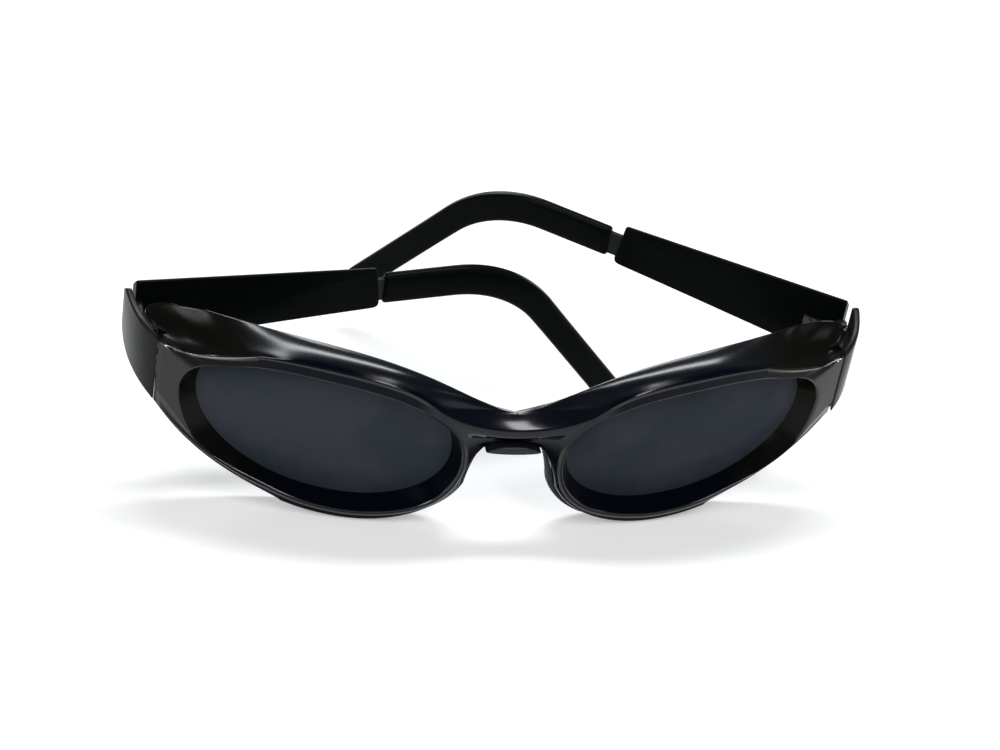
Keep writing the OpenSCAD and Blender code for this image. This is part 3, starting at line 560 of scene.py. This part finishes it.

# %% [markdown]
# ## Marks for the finish
# The front's brows and corners are buffed and its edges are rubbed bright. What faces down, and the lip
# by the bridge, get painted shade: there the reflection is taken away so they render dark. This could
# be painted by hand, but here each point gets a number from 0 to 1 for each kind of place. These marks
# follow the slices, and the finish reads them.

# %% Marks
BROW_AT, CORNER_AT, BRIDGE_AT = (50, 78, 128, 142), (-46, -28, 18, 24), (128, 142, 164, 180)
UNDER_AT, NOSE_LIP_AT, PLAIN_AT = (166, 186, 322, 342), (128, 142, 166, 186), (132, 141, 166, 176)
GRAIN_FROM, GRAIN_FULL, RIDGE_FADE = 0.05, 0.2, 18
marks = {name: np.zeros(rows.shape[:2]) for name in ("polish", "shade", "worn", "crest", "bridge")}
polish, shade, worn = marks["polish"], marks["shade"], marks["worn"]

brow = hump(angles, *BROW_AT)[:, None]
polish[:, at["lip"]:at["wall"]] = hump(wrapped(angles), *CORNER_AT)[:, None]
polish[:, at["face"]:at["edge"]] += brow * ease(np.linspace(0, 1, FACE_STEPS), GRAIN_FROM, GRAIN_FULL)
polish[:, at["edge"]:at["back"]] += brow
marks["bridge"][:, at["lip"]:at["back"]] = hump(angles, *BRIDGE_AT)[:, None]
# Painted shade: below the lens and on the lip by the bridge, the finish takes the reflection away.
shade[:, at["lip"]:at["edge"]] = hump(angles, *UNDER_AT)[:, None]
shade[:, at["lip"]:at["face"]] += hump(angles, *NOSE_LIP_AT)[:, None]

for corner, run in (("crest", "lip"), ("land", "face"), ("edge", "wall")):
    worn[:, at[corner]:at[run]] = 1
on_ridge = (angles >= SEAM_UP) & (angles <= RIDGE_TO)
ridge_points = slice(at["land"] - 1, at["face"] + 1)
worn[on_ridge, ridge_points] = 1
ridge_light = on_ridge * (1 - ease(angles, RIDGE_TO - RIDGE_FADE, RIDGE_TO))
marks["crest"][:, ridge_points] = ridge_light[:, None]
worn[on_seam(angles), at["edge"]:at["wall"]] = 0
worn *= 1 - hump(angles, *PLAIN_AT)[:, None]
marks = {name: np.tile(np.clip(values, 0, 1).ravel(), 2) for name, values in marks.items()}
print("mean of each mark:", {name: values.mean().round(3) for name, values in marks.items()})

# %% [markdown]
# ## Both halves in one mesh
# The slices make the right half. A Mirror modifier could add the left one, but the faces in the middle
# plane would stay inside. So both halves go into one mesh without them, merged at that plane.

# %% Front moulding
faces = grid_faces(*rows.shape[:2], ring_rows=True)
both, both_faces = [], []
for sign in SIDES.values():
    points = rows.reshape(-1, 3) * [sign, 1, 1]
    in_plane = (abs(points[faces][..., 0]) < TINY).all(1)
    both_faces.append(faces[~in_plane] + len(both) * len(points))
    both.append(points)
front = make_piece("front_moulding", np.concatenate(both), np.concatenate(both_faces), "front",
                   "frame_plastic", ["front_frame"], marks=marks)

# %% [markdown]
# ## Lenses
# A lens is a thin shell that curves both across and up. A modifier could bend a flat disc, but the
# edge has to lie in the groove. So it is made of rings on the lens surface's formula, which grow
# from the middle, turn over the edge and shrink again on the back.

# %% Lenses
LENS_RINGS, LENS_POINTS, FIRST_RING = 22, 144, 0.03


def lens_rings():
    """Rings at shares of the way from the lens middle to a line in the groove, front then back."""
    t = np.arange(LENS_POINTS) * 360.0 / LENS_POINTS
    rim = beside(t, GROOVE_D)
    shares = np.sin(np.linspace(FIRST_RING, np.pi / 2, LENS_RINGS))
    rings = []
    for y, order in ((LENS_PLAY, shares), (LENS_PLAY + LENS_T, shares[::-1])):
        p = mix(np.array([LENS_X, LENS_Z]), rim, order[:, None, None])
        rings.append(at_depth(p, lens_y(p) + y))
    return np.concatenate(rings)


lenses = make_front_pair("lens", *capped(lens_rings()), "lens", "lens")

# %% [markdown]
# ## Bridge insert
# Under the bridge sits a small dark plug. It could be a rounded cube, but its top follows the notch at
# an even gap. So its outline is part of the notch, closed below by half an oval, and it shrinks at both
# ends, which rounds its edges.

# %% Bridge insert
INSERT_W, INSERT_LOW, INSERT_GAP, INSERT_ROUND = 5.2, 7.8, 0.05, 0.35
INSERT_FROM, INSERT_TO = -3, 1.2
roof = notch(np.arange(0, 0.71, 0.02))
roof = roof[roof[:, 0] < INSERT_W] - [0, INSERT_GAP]
quarter = np.radians(np.arange(6, 91, 6))
belly = np.stack([roof[-1, 0] * np.cos(quarter), mix(roof[-1, 1], -INSERT_LOW, np.sin(quarter))], -1)
half = np.concatenate([roof, belly])
outline = np.concatenate([half, half[-2:0:-1] * [-1, 1]])
inwards = [(INSERT_ROUND * (1 - math.cos(a)), INSERT_ROUND * (1 - math.sin(a)))
           for a in np.radians(np.linspace(0, 90, 6))]
steps = [(INSERT_FROM + y, c) for y, c in inwards] + [(INSERT_TO - y, c) for y, c in inwards[::-1]]
middle = np.array([0, outline[:, 1].mean()])
spread = abs(outline - middle).max(0)
insert_rings = np.stack([at_depth(middle + (outline - middle) * (1 - c / spread), y) for y, c in steps])
insert = make_piece("bridge_plug", *capped(insert_rings), "front", "insert_plastic", ["bridge_insert"])

# %% [markdown]
# ## Nose pads
# A soft pad lines the nose side of each rim. A strip with a Solidify modifier would have square ends.
# Here half a flattened oval crosses the pad, and it grows and shrinks along the rim.

# %% Nose pads
PAD_FROM, PAD_TO, PAD_T, PAD_LEAST, PAD_GAP, PAD_FRONT, PAD_REAR = 187, 229, 1.1, 0.15, 0.1, 0.6, 0.4
PAD_RINGS, PAD_POINTS, PAD_POWER = 60, 24, 0.6


def pad_rings():
    """Across: half a flattened oval on the rim's side. Along: thickest in the middle."""
    f = np.linspace(0, 1, PAD_RINGS)
    t = mix(PAD_FROM, PAD_TO, f)
    e, b = edge(t), back_edge(t)
    d = edge(t + 1) - edge(t - 1)
    out = np.stack([d[:, 2], 0 * f, -d[:, 0]], -1)
    out /= np.linalg.norm(out, axis=1, keepdims=True)
    thick = PAD_LEAST + (PAD_T - PAD_LEAST) * np.sqrt(np.clip(np.sin(np.pi * f), 0, 1))
    a = np.pi * np.linspace(0, 1, PAD_POINTS)
    y = mix((e[:, 1] + PAD_FRONT)[:, None], (b[:, 1] - PAD_REAR)[:, None], (1 - np.cos(a)) / 2)
    h = PAD_GAP + thick[:, None] * np.abs(np.sin(a)) ** PAD_POWER
    return np.stack([e[:, :1] + out[:, :1] * h, y, e[:, 2:] + out[:, 2:] * h], -1)


pads = make_front_pair("nose_pad_piece", *capped(pad_rings()), "pad", "nose_pad")

# %% [markdown]
# ## End pieces
# A wing continues the front to each hinge, behind a seam: a thin blade that narrows to the rear. It
# could be cut from a block with a solid for each view, but the edges would be sharp. So it is made of
# upright slices with round corners.

# %% End pieces
HALF_W, END_LEAN, WING_IN, PAST_AXIS = 70, math.radians(24), 8.8, 0.35
KNUCKLE_R, BLADE_T, SHELF_Z, SEAM_GAP = 1.25, 1.3, 4.9, 0.15
SEAT, WING_Y = KNUCKLE_R + 0.02, HINGE_Y - 0.2
OUTER_PULL, TOP_Z = (4.15, 2.7), 8.9
TOP_LINE = [(SEAM_Y, SEAM_TOP), (SEAM_Y + 2.5, SEAM_TOP + 1.8), (WING_Y - 6.1, 8.2),
            (WING_Y - 1.5, TOP_Z)]
TOP_END = [(WING_Y - 1.5, TOP_Z), (WING_Y, TOP_Z), (WING_Y, 7.6)]
LOW_LINE = [(SEAM_Y, 0.6 - SEAM_LOW), (SEAM_Y + 3.5, 4.6 - SEAM_LOW), (WING_Y - 2.6, -4.4),
            (WING_Y - 0.5, 0.3)]
LOW_END = (WING_Y, 1.5)
WING_CUTS, WING_SLICES, LINE_POINTS = [0.4, 0.45, 0.15, 0.15, 0.15, 0.4], 90, 80
TUCK, TUCK_L, TUCK_AT = 0.35, 0.4, np.array([0.7, 0.4, 0.2, 0.05, 0.005])
FIRST_SLICE, SECOND_SLICE, LEAST_STEP, LEAST_TOP = 0.22, 0.3, 0.002, 0.2


def on_wing(x, y):
    """Plan point from the hinge axis, along and across the leaning end piece."""
    c, s = math.cos(END_LEAN), math.sin(END_LEAN)
    return HINGE_X + x * c + y * s, HINGE_Y - x * s + y * c


def rounded(corners, cuts, steps=6):
    """Outlines, one a row, whose corners turn into arcs that start a cut's length before them."""
    h = np.linspace(0, 1, steps)[:, None]
    parts, n = [], corners.shape[1]
    for k in range(n):
        b, a, c = corners[:, k], corners[:, k - 1], corners[:, (k + 1) % n]
        la, lc = (np.maximum(np.linalg.norm(q - b, axis=1, keepdims=True), TINY) for q in (a, c))
        a = b + (a - b) / la * np.minimum(cuts[k], MOST_OF_RUN * la)
        c = b + (c - b) / lc * np.minimum(cuts[k], MOST_OF_RUN * lc)
        parts.append(arc(a[:, None], b[:, None], c[:, None], h))
    return np.concatenate(parts, 1)


def end_piece_rings():
    """Upright slices along Y: a thin blade above the shelf, and below it a block that reaches in to
    the hinge. A quarter circle tucks the last slices in."""
    f = np.linspace(0, 1, LINE_POINTS)
    x0 = SEAM_X + SEAM_GAP
    pull = (x0 + OUTER_PULL[0], SEAM_Y + OUTER_PULL[1])
    outer = pulled_curve([(x0, SEAM_Y), pull, (HALF_W, WING_Y)], f)
    top = np.concatenate([pulled_curve(TOP_LINE, f), pulled_curve(TOP_END, f)[1:]])
    low = np.concatenate([pulled_curve(LOW_LINE, f), [LOW_END]])
    y = np.concatenate([[SEAM_Y + FIRST_SLICE],
                        np.linspace(SEAM_Y + SECOND_SLICE, WING_Y - TUCK_L, WING_SLICES),
                        WING_Y - TUCK_L * TUCK_AT])
    xo = np.interp(y, outer[:, 1], outer[:, 0])
    knee, rear = on_wing(SEAT, -WING_IN), on_wing(SEAT, PAST_AXIS)
    xi = np.interp(y, [SEAM_Y, SEAM_Y + SEAM_D, knee[1], WING_Y], [x0, x0, knee[0], rear[0]])
    zt, zb = np.interp(y, top[:, 0], top[:, 1]), np.interp(y, low[:, 0], low[:, 1])
    tuck = TUCK * (1 - np.sqrt(1 - np.clip((y - WING_Y + TUCK_L) / TUCK_L, 0, 1) ** 2))
    xo, xi, zt, zb = xo - tuck, xi + tuck, zt - tuck, zb + tuck
    xs, zs = np.maximum(xo - BLADE_T, xi + LEAST_STEP), np.minimum(SHELF_Z, zt - LEAST_TOP)
    corners = ((xo, zt), (xo, zb), (xi, zb), (xi, zs), (xs, zs), (xs, zt))
    return at_depth(rounded(np.stack([np.stack(c, -1) for c in corners], 1), WING_CUTS), y[:, None])


wings = make_front_pair("wing", *capped(end_piece_rings()), "end_piece_plastic", "end_piece")

# %% [markdown]
# ## Temples
# Each temple is a flat blade whose outer side slopes in along top and bottom. A box with a Bevel
# modifier would get the same bevel on all edges. So it is a stack of outlines from the inner to the
# outer side, each moved in by as much as its depth needs.

# %% Temples
FOLD = {"left": math.radians(77), "right": math.radians(53)}
TEMPLE_L, TEMPLE_H, TEMPLE_END_H, TEMPLE_T = 47.4, 13.9, 8.9, 2.4
TEMPLE_TOP, TEMPLE_END_TOP, TEMPLE_FRONT, TEMPLE_LAND, TEMPLE_BEVEL = 8.6, 5.8, 0.2, 0.7, 1.7
KNEE, KNEE_Z, END_RAKE, BLADE_CUTS = 34, -3.7, 1.4, [0.6, 0.5, 1.5, 7, 0.6]
INNER_ROUND, OUTER_ROUND, OUTER_DOWN, OUTER_IN = 0.25, 0.5, 0.9, 0.4
RIDGE_BEFORE, RIDGE_AFTER = 0.3, 0.25


def folded(points, side):
    """From the temple's frame (X outwards, Y along, Z up) to its place, turned about the hinge."""
    p, a, s = np.asarray(points), FOLD[side], SIDES[side]
    return np.stack([s * (HINGE_X + p[..., 0] * math.cos(a) - p[..., 1] * math.sin(a)),
                     HINGE_Y + p[..., 0] * math.sin(a) + p[..., 1] * math.cos(a), p[..., 2]], -1)


def blade_outline(down, inward):
    """Side view with round corners, its top and bottom moved in by down and all edges by inward."""
    t, e = down + inward, inward
    corners = np.array([[TEMPLE_FRONT + e, TEMPLE_TOP - t], [TEMPLE_L - e, TEMPLE_END_TOP - t],
                        [TEMPLE_L + END_RAKE - e, TEMPLE_END_TOP - TEMPLE_END_H + t],
                        [KNEE, KNEE_Z + t], [TEMPLE_FRONT + e, TEMPLE_TOP - TEMPLE_H + t]])
    return rounded(corners[None], BLADE_CUTS, steps=7)[0]


def blade_rings():
    """Outlines at (depth, how far the top and bottom move in, how far all edges move in)."""
    inner = [(INNER_ROUND * (1 - math.cos(a)), 0, INNER_ROUND * (1 - math.sin(a)))
             for a in np.radians(np.linspace(0, 90, 5))]
    h = np.linspace(0, 1, 5)
    start, end = TEMPLE_LAND - RIDGE_BEFORE, TEMPLE_LAND + RIDGE_AFTER
    ridge_in = [(mix(start, end, f), RIDGE_AFTER * f * f, 0) for f in h]
    slope = [(f, f - TEMPLE_LAND, 0)
             for f in np.linspace(TEMPLE_LAND + RIDGE_BEFORE, TEMPLE_T - OUTER_ROUND, 4)]
    outer = [(TEMPLE_T - OUTER_ROUND * (1 - f) ** 2, TEMPLE_BEVEL - OUTER_ROUND + OUTER_DOWN * f,
              OUTER_IN * f * f) for f in h[1:]]
    return np.stack([np.insert(blade_outline(d, i), 0, SEAT + x, axis=1)
                     for x, d, i in inner + ridge_in + slope + outer])


blade_points, blade_faces = capped(blade_rings())
temples = [make_piece(f"temple_blade_{side}", folded(blade_points, side), blade_faces, f"{side}_arm",
                      "temple_plastic", [f"temple_{side}"]) for side in SIDES]

# %% [markdown]
# ## Ear tips
# An ear tip is a bar that bends down behind the ear. A curve object could bend like that, but this
# outline is a squarish oval that grows thicker. So the oval is carried along the path, and its half
# sizes change with the distance.

# %% Ear tips
DRAWN = {"left": 0.9, "right": 2}
TIP_H, TIP_END_H, TIP_T, TIP_Z, TIP_POWER = 6.5, 5.6, 3.4, 0.55, 0.5
BEND_S, BEND_R, BEND, HOOK_L = 75.5, 26, math.radians(50), 46.5
BEND_LEAD, BEND_ARC = BEND_R * math.tan(BEND / 2), BEND_R * BEND
BEND_FROM = BEND_S - BEND_LEAD
TIP_FROM = TEMPLE_L + END_RAKE - 0.1
TIP_TO = BEND_FROM + BEND_ARC - BEND_LEAD + HOOK_L
TONGUE_X = SEAT + TEMPLE_T / 2
SWELL_FROM, SWELL_L, TAPER_L, CHORD = 55.4, 24, 40, 0.08
CLOSING, CLOSE_FROM, FRONT_SHARE, REAR_FROM, FRONT_TRIM, REAR_TRIM = 0.9, 0.93, 0.012, 0.99, 0.27, 0.38
TIP_SHARES = np.concatenate([np.linspace(0, FRONT_SHARE, 6), np.linspace(0.02, 0.9, 150),
                             np.linspace(0.905, 1, 64)])
TIP_POINTS = 56


def tip_rings(f):
    """Rings square to the path, at shares f of it. Powers of cosine and sine below 1 make them
    squarish, and quarter circles round both ends. CHORD comes off all round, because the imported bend
    is made of straight pieces inside the curve."""
    s = mix(TIP_FROM, TIP_TO, f)
    a = np.clip((s - BEND_FROM) / BEND_R, 0, BEND)
    q = s - BEND_FROM - BEND_ARC + BEND_LEAD
    y = np.where(s < BEND_FROM, s, np.where(a < BEND, BEND_FROM + BEND_R * np.sin(a),
                                            BEND_S + q * np.cos(BEND)))
    z = TIP_Z - np.where(a < BEND, BEND_R * (1 - np.cos(a)), q * np.sin(BEND))
    end = np.sqrt(1 - CLOSING * ease(f, CLOSE_FROM, 1) ** 2)
    first = 1 - np.sqrt(1 - np.clip(1 - f / FRONT_SHARE, 0, 1) ** 2)
    last = 1 - np.sqrt(1 - np.clip((f - REAR_FROM) / (1 - REAR_FROM), 0, 1) ** 2)
    trim = CHORD + FRONT_TRIM * first + REAR_TRIM * last
    h = mix(TIP_H, TIP_END_H, ease(s, SWELL_FROM, SWELL_FROM + TAPER_L)) / 2 * end - trim
    w = mix(TEMPLE_T, TIP_T, ease(s, SWELL_FROM, SWELL_FROM + SWELL_L)) / 2 * end - trim
    b = 2 * np.pi * np.arange(TIP_POINTS) / TIP_POINTS
    u = w[:, None] * power(np.cos(b), TIP_POWER)
    v = h[:, None] * power(np.sin(b), TIP_POWER)
    return np.stack([TONGUE_X + u, y[:, None] + v * np.sin(a)[:, None],
                     z[:, None] + v * np.cos(a)[:, None]], -1)


tip_points, tip_faces = capped(tip_rings(TIP_SHARES))
tips = [make_piece(f"ear_tip_{side}", folded(tip_points + [0, DRAWN[side], 0], side), tip_faces,
                   f"{side}_tip", "tip_plastic", [f"temple_tip_{side}"]) for side in SIDES]

# %% [markdown]
# ## Finishes
# Each finish is a material made of nodes. They could be joined by hand, but a long chain is hard to
# read. Here one class lets the maths between nodes be written as sums, and another holds a material
# and makes its nodes.

# %% A small language for materials


class Wire:
    """The output of a node. Adding, subtracting or multiplying wires adds Math nodes."""

    def __init__(self, finish, socket):
        self.finish, self.socket = finish, socket

    def sum(self, operation, a, b):
        return self.finish.node("Math", {"operation": operation}, {0: a, 1: b})

    def __add__(self, other): return self.sum("ADD", self, other)
    def __radd__(self, other): return self.sum("ADD", other, self)
    def __sub__(self, other): return self.sum("SUBTRACT", self, other)
    def __rsub__(self, other): return self.sum("SUBTRACT", other, self)
    def __mul__(self, other): return self.sum("MULTIPLY", self, other)
    def __rmul__(self, other): return self.sum("MULTIPLY", other, self)
    def size(self): return self.sum("ABSOLUTE", self, 0.0)


class Finish:
    """A material with one Principled shader. Constants go straight to its sockets."""

    def __init__(self, name, **constants):
        self.material = bpy.data.materials.new(name)
        self.material.use_nodes = True
        self.tree = self.material.node_tree
        self.shader = self.tree.nodes["Principled BSDF"]
        self.surface = self.tree.nodes["Material Output"].inputs["Surface"]
        self.set(**constants)
        self.place = self.node("TexCoord", out="Object")

    def node(self, kind, settings=None, inputs=None, out=0):
        """A new node of a kind, with its settings first and then its inputs. Gives one output."""
        node = self.tree.nodes.new("ShaderNode" + kind)
        for key, value in (settings or {}).items():
            setattr(node, key, value)
        for key, value in (inputs or {}).items():
            self.feed(node.inputs[key], value)
        return Wire(self, node.outputs[out])

    def feed(self, socket, value):
        """A wire is linked to the socket, and a constant is set on it."""
        if isinstance(value, Wire):
            self.tree.links.new(value.socket, socket)
        else:
            socket.default_value = value

    def set(self, **inputs):
        for key, value in inputs.items():
            self.feed(self.shader.inputs[key.replace("_", " ")], value)

    def over(self, factor, **inputs):
        """Another Principled shader, which covers what showed so far as the factor goes to 1."""
        so_far = Wire(self, self.surface.links[0].from_socket)
        layer = self.node("BsdfPrincipled", {}, {key.replace("_", " "): v for key, v in inputs.items()})
        self.feed(self.surface, self.node("MixShader", {}, {0: factor, 1: so_far, 2: layer}))

    def mark(self, name):
        """The named numbers that a mesh carries."""
        return self.node("Attribute", {"attribute_name": name}, out="Fac")

    def noise(self, size, detail=3.0, roughness=0.5):
        """Noise whose patches are about size mm across."""
        return self.node("TexNoise", {}, {"Vector": self.place, "Scale": 1 / (size * MM),
                                          "Detail": detail, "Roughness": roughness})

    def between(self, value, low, high):
        """0 below low, 1 above high and smooth between them."""
        return self.node("MapRange", {"interpolation_type": "SMOOTHSTEP"},
                         {"Value": value, "From Min": low, "From Max": high})

    def blend(self, factor, a, b):
        """Colour between a and b, each given as red, green and blue."""
        return self.node("Mix", {"data_type": "RGBA"}, {0: factor, 6: (*a, 1), 7: (*b, 1)}, out=2)

    def mottled(self, patch, dark, pale, smooth, more, grain):
        """Colour that drifts over patches of a size in mm, and roughness that grows with the grain."""
        self.set(Base_Color=self.blend(self.noise(patch), dark, pale), Roughness=smooth + more * grain)

    def bump(self, height, strength, depth_mm):
        """Shading as if the height, from 0 to 1, rose by a depth."""
        self.set(Normal=self.node("Bump", {}, {"Height": height, "Strength": strength,
                                               "Distance": depth_mm * MM}))


def paint(finish, *pieces):
    """Pieces get this finish in place of their own."""
    for piece in pieces:
        piece.data.materials.clear()
        piece.data.materials.append(finish.material)
    print(finish.material.name, "on", [piece.name for piece in pieces])


# %% [markdown]
# ## The front's gloss
# The front is nearly black plastic with a touch of navy, grained on the brows and bright along its
# edges. Below, and on the lip by the bridge, it has painted shade: a shader without reflection makes it
# dark. One Principled shader could vary its roughness, but its specular level is the same all over. So
# more shaders lie over it where the marks say so.

# %% Front gloss
NEAR_SEAM = 40 * MM, 52 * MM
front_gloss = Finish("front_gloss", Specular_IOR_Level=0.09, Coat_Roughness=0.2, Coat_IOR=1.45)
polished = front_gloss.mark("polish")
across = front_gloss.node("SeparateXYZ", {}, {"Vector": front_gloss.place}, out="X")
outer = front_gloss.between(across.size(), *NEAR_SEAM)
navy = front_gloss.blend(outer, (0.0015, 0.0025, 0.006), (0.004, 0.004, 0.003))
front_gloss.set(Base_Color=navy, Coat_Weight=0.8 * polished,
                Roughness=0.07 + 0.06 * front_gloss.noise(9) + 0.13 * polished + 0.1 * outer)
front_gloss.bump(front_gloss.noise(0.3, 5, 0.6), 0.7, 0.025)
# Painted shade: where the shade mark says, a shader with no reflection covers the gloss, so it renders dark.
front_gloss.over(0.85 * front_gloss.mark("shade"), Base_Color=navy, Specular_IOR_Level=0.0,
                 Roughness=0.6)
front_gloss.over(front_gloss.mark("worn"), Base_Color=navy, Specular_IOR_Level=0.5,
                 Roughness=0.08 + 0.05 * front_gloss.noise(4))
front_gloss.over(0.6 * front_gloss.mark("bridge"), Base_Color=navy, Specular_IOR_Level=0.5,
                 Roughness=0.12)
front_gloss.over(front_gloss.mark("crest"), Base_Color=navy, Specular_IOR_Level=1.0, Roughness=0.12,
                 Coat_Weight=1.0, Coat_IOR=1.8, Coat_Roughness=0.12)
paint(front_gloss, front)

# %% [markdown]
# ## The other plastics
# The end pieces, temples, tips and plug are black plastic with a fine grain, and the soft pads are
# stippled for grip. Pictures of plastic could be used, but noise in millimetres has the right scale on
# every piece and no seams.

# %% Other plastics
GRAIN_MM, STIPPLE_MM = 0.3, 0.32
wing_gloss = Finish("wing_gloss", Specular_IOR_Level=0.11)
grain = wing_gloss.noise(GRAIN_MM, 4)
wing_gloss.mottled(7, (0.008, 0.009, 0.009), (0.013, 0.013, 0.012), 0.2, 0.12, grain)
wing_gloss.bump(grain, 0.1, 0.02)
paint(wing_gloss, *wings)

temple_gloss = Finish("temple_gloss", Specular_IOR_Level=0.03)
grain = temple_gloss.noise(GRAIN_MM, 4)
temple_gloss.mottled(12, (0.002, 0.003, 0.003), (0.0035, 0.0045, 0.005), 0.2, 0.12, grain)
temple_gloss.bump(grain, 0.08, 0.02)
paint(temple_gloss, *temples, *tips)

plug_gloss = Finish("plug_gloss", Specular_IOR_Level=0.3)
plug_gloss.mottled(2, (0.005, 0.006, 0.008), (0.010, 0.011, 0.013), 0.3, 0.1,
                   plug_gloss.noise(0.4))
paint(plug_gloss, insert)

pad_grip = Finish("pad_grip", Specular_IOR_Level=0.2)
stipple = pad_grip.node("TexVoronoi", {}, {"Vector": pad_grip.place, "Scale": 1 / (STIPPLE_MM * MM)})
pad_grip.set(Base_Color=pad_grip.blend(stipple, (0.035, 0.04, 0.04), (0.008, 0.009, 0.01)),
             Roughness=0.75 - 0.15 * pad_grip.noise(1.5))
pad_grip.bump(stipple, 0.8, 0.1)
paint(pad_grip, *pads)

# %% [markdown]
# ## The lenses' tint
# The lenses let almost nothing through. Tinted glass could be traced, but it would show nothing more.
# So they are opaque and slightly blue, with faint smudges in colour and roughness.

# %% Lens tint
tint = Finish("lens_tint", Specular_IOR_Level=0.03)
smudge = tint.between(tint.noise(12, 3), 0.35, 0.65)
tint.set(Base_Color=tint.blend(smudge, (0.031, 0.040, 0.050), (0.045, 0.048, 0.062)),
         Roughness=0.1 + 0.1 * tint.noise(10, 4))
paint(tint, *lenses)

# %% [markdown]
# ## Metals
# Hinge leaves, screws and rivets are black nickel, the springs are steel, and the tongues have a black
# coat. They could be modelled anew, but their solids are right already. So each only gets a better
# material, by its slot.

# %% Metals
nickel = Finish("black_nickel", Metallic=1.0)
nickel.mottled(1.5, (0.10, 0.10, 0.105), (0.17, 0.17, 0.175), 0.26, 0.2, nickel.noise(0.2, 4))
nickel.bump(nickel.noise(0.12, 4), 0.15, 0.01)
steel = Finish("spring_steel", Metallic=1.0)
steel.mottled(2, (0.42, 0.42, 0.43), (0.56, 0.56, 0.57), 0.2, 0.2, steel.noise(0.3, 4))
coat = Finish("tongue_coat", Specular_IOR_Level=0.2)
coat.mottled(3, (0.004, 0.005, 0.005), (0.008, 0.009, 0.009), 0.3, 0.15, coat.noise(0.3, 4))
metals = {"hinge_metal": nickel, "spring_steel": steel, "tongue_coat": coat}
slots = {part["node"]: part["material_slot"] for part in frame["record"]["subparts"]}
for slot, finish in metals.items():
    paint(finish, *(node for name, node in frame["nodes"].items() if slots[name] == slot))

# %% [markdown]
# ## Table
# The glasses lie on a plain white table. A flat plane would end in a horizon, so the floor is a wide
# disc whose rim curves up. It glows a little, but only for the camera and for what passes or reflects
# its rays: it adds no light, and the shadow on it stays.

# %% Floor
FLOOR_M, CURVE_M, GLOW_FROM, GLOW_FULL = 4.0, 1.0, 0.3, 2.0
bend = np.radians(np.linspace(0, 90, 12))
profile = np.stack([FLOOR_M - CURVE_M + CURVE_M * np.sin(bend), CURVE_M - CURVE_M * np.cos(bend)], 1)
turns = np.radians(np.arange(0, 360, 5))
cove = profile[:, None, [0, 0, 1]] * np.stack([np.cos(turns), np.sin(turns), 1 + 0 * turns], -1)
floor_faces = [list(range(len(turns)))] + grid_faces(len(bend), len(turns))[:, ::-1].tolist()
floor_mesh = bpy.data.meshes.new("floor")
floor_mesh.from_pydata(cove.reshape(-1, 3), [], floor_faces)
floor_mesh.polygons.foreach_set("use_smooth", np.arange(len(floor_mesh.polygons)) > 0)
floor = bpy.data.objects.new("floor", floor_mesh)
bpy.context.scene.collection.objects.link(floor)

white = Finish("white_table", Base_Color=(0.8, 0.8, 0.8, 1), Roughness=0.9, Specular_IOR_Level=0.0)
seen = (white.node("LightPath", out="Is Camera Ray") + white.node("LightPath", out="Is Glossy Ray")
        + white.node("LightPath", out="Is Transmission Ray"))
away = white.node("VectorMath", {"operation": "LENGTH"}, {0: white.place}, out="Value")
glow_colour = white.blend(white.between(away, GLOW_FROM, GLOW_FULL), (0.35, 0.35, 0.35),
                          (0.9, 0.9, 0.9))
glow = white.node("Emission", {}, {"Color": glow_colour, "Strength": 1.0})
matt = Wire(white, white.shader.outputs[0])
lit = white.node("AddShader", {}, {0: matt, 1: glow})
white.feed(white.surface, white.node("MixShader", {}, {0: seen, 1: matt, 2: lit}))
paint(white, floor)

# %% [markdown]
# ## Light
# A soft box above gives the broad highlights on the brows, and a low one behind draws thin lines along
# the edges. Small lamps would show as dots on the gloss, and a bright sky would turn it grey. So the
# lamps are wide and the sky is faint.

# %% Lamps and world
AIM, UPRIGHT = np.array([0, 0, 0.02]), [0, 1, 0.001]
COOL, SKY, SKY_STRENGTH = (0.93, 0.97, 1), (0.96, 0.98, 1, 1), 0.08


def around(azimuth, elevation, distance):
    """Place at an azimuth from behind (positive to the right), an elevation and a distance."""
    a, e = math.radians(azimuth), math.radians(elevation)
    return distance * np.array([math.sin(a) * math.cos(e), math.cos(a) * math.cos(e), math.sin(e)])


def soft_box(name, at, size, watts, tone=(1, 1, 1)):
    """Oblong lamp that shines on the object: its own Z axis points away from it."""
    data = bpy.data.lights.new(name, "AREA")
    data.shape, data.size, data.size_y = "RECTANGLE", size[0], size[1]
    data.energy, data.color = watts, tone
    z_axis = (at - AIM) / np.linalg.norm(at - AIM)
    x_axis = np.cross(UPRIGHT, z_axis)
    x_axis /= np.linalg.norm(x_axis)
    m = np.eye(4)
    m[:3, :3] = np.stack([x_axis, np.cross(z_axis, x_axis), z_axis], 1)
    m[:3, 3] = at
    lamp = bpy.data.objects.new(name, data)
    lamp.matrix_world = Matrix(m.tolist())
    bpy.context.scene.collection.objects.link(lamp)
    print(name, "of", watts, "W at", at.round(2))


soft_box("top_box", around(18, 74, 1.0), (0.7, 0.2), 6.5, COOL)
soft_box("back_box", around(3, 27, 1.2), (0.45, 0.4), 2.4)
soft_box("front_box", around(165, 44, 1.0), (0.16, 0.5), 3.8)
soft_box("left_box", around(-127, 26, 1.0), (0.2, 0.34), 2.6)
soft_box("right_box", around(106, 33, 1.0), (0.15, 0.15), 0.3)

world = bpy.data.worlds.new("studio")
bpy.context.scene.world = world
world.use_nodes = True
sky = world.node_tree.nodes["Background"]
sky.inputs["Color"].default_value, sky.inputs["Strength"].default_value = SKY, SKY_STRENGTH
bpy.context.scene.view_settings.view_transform = "Standard"
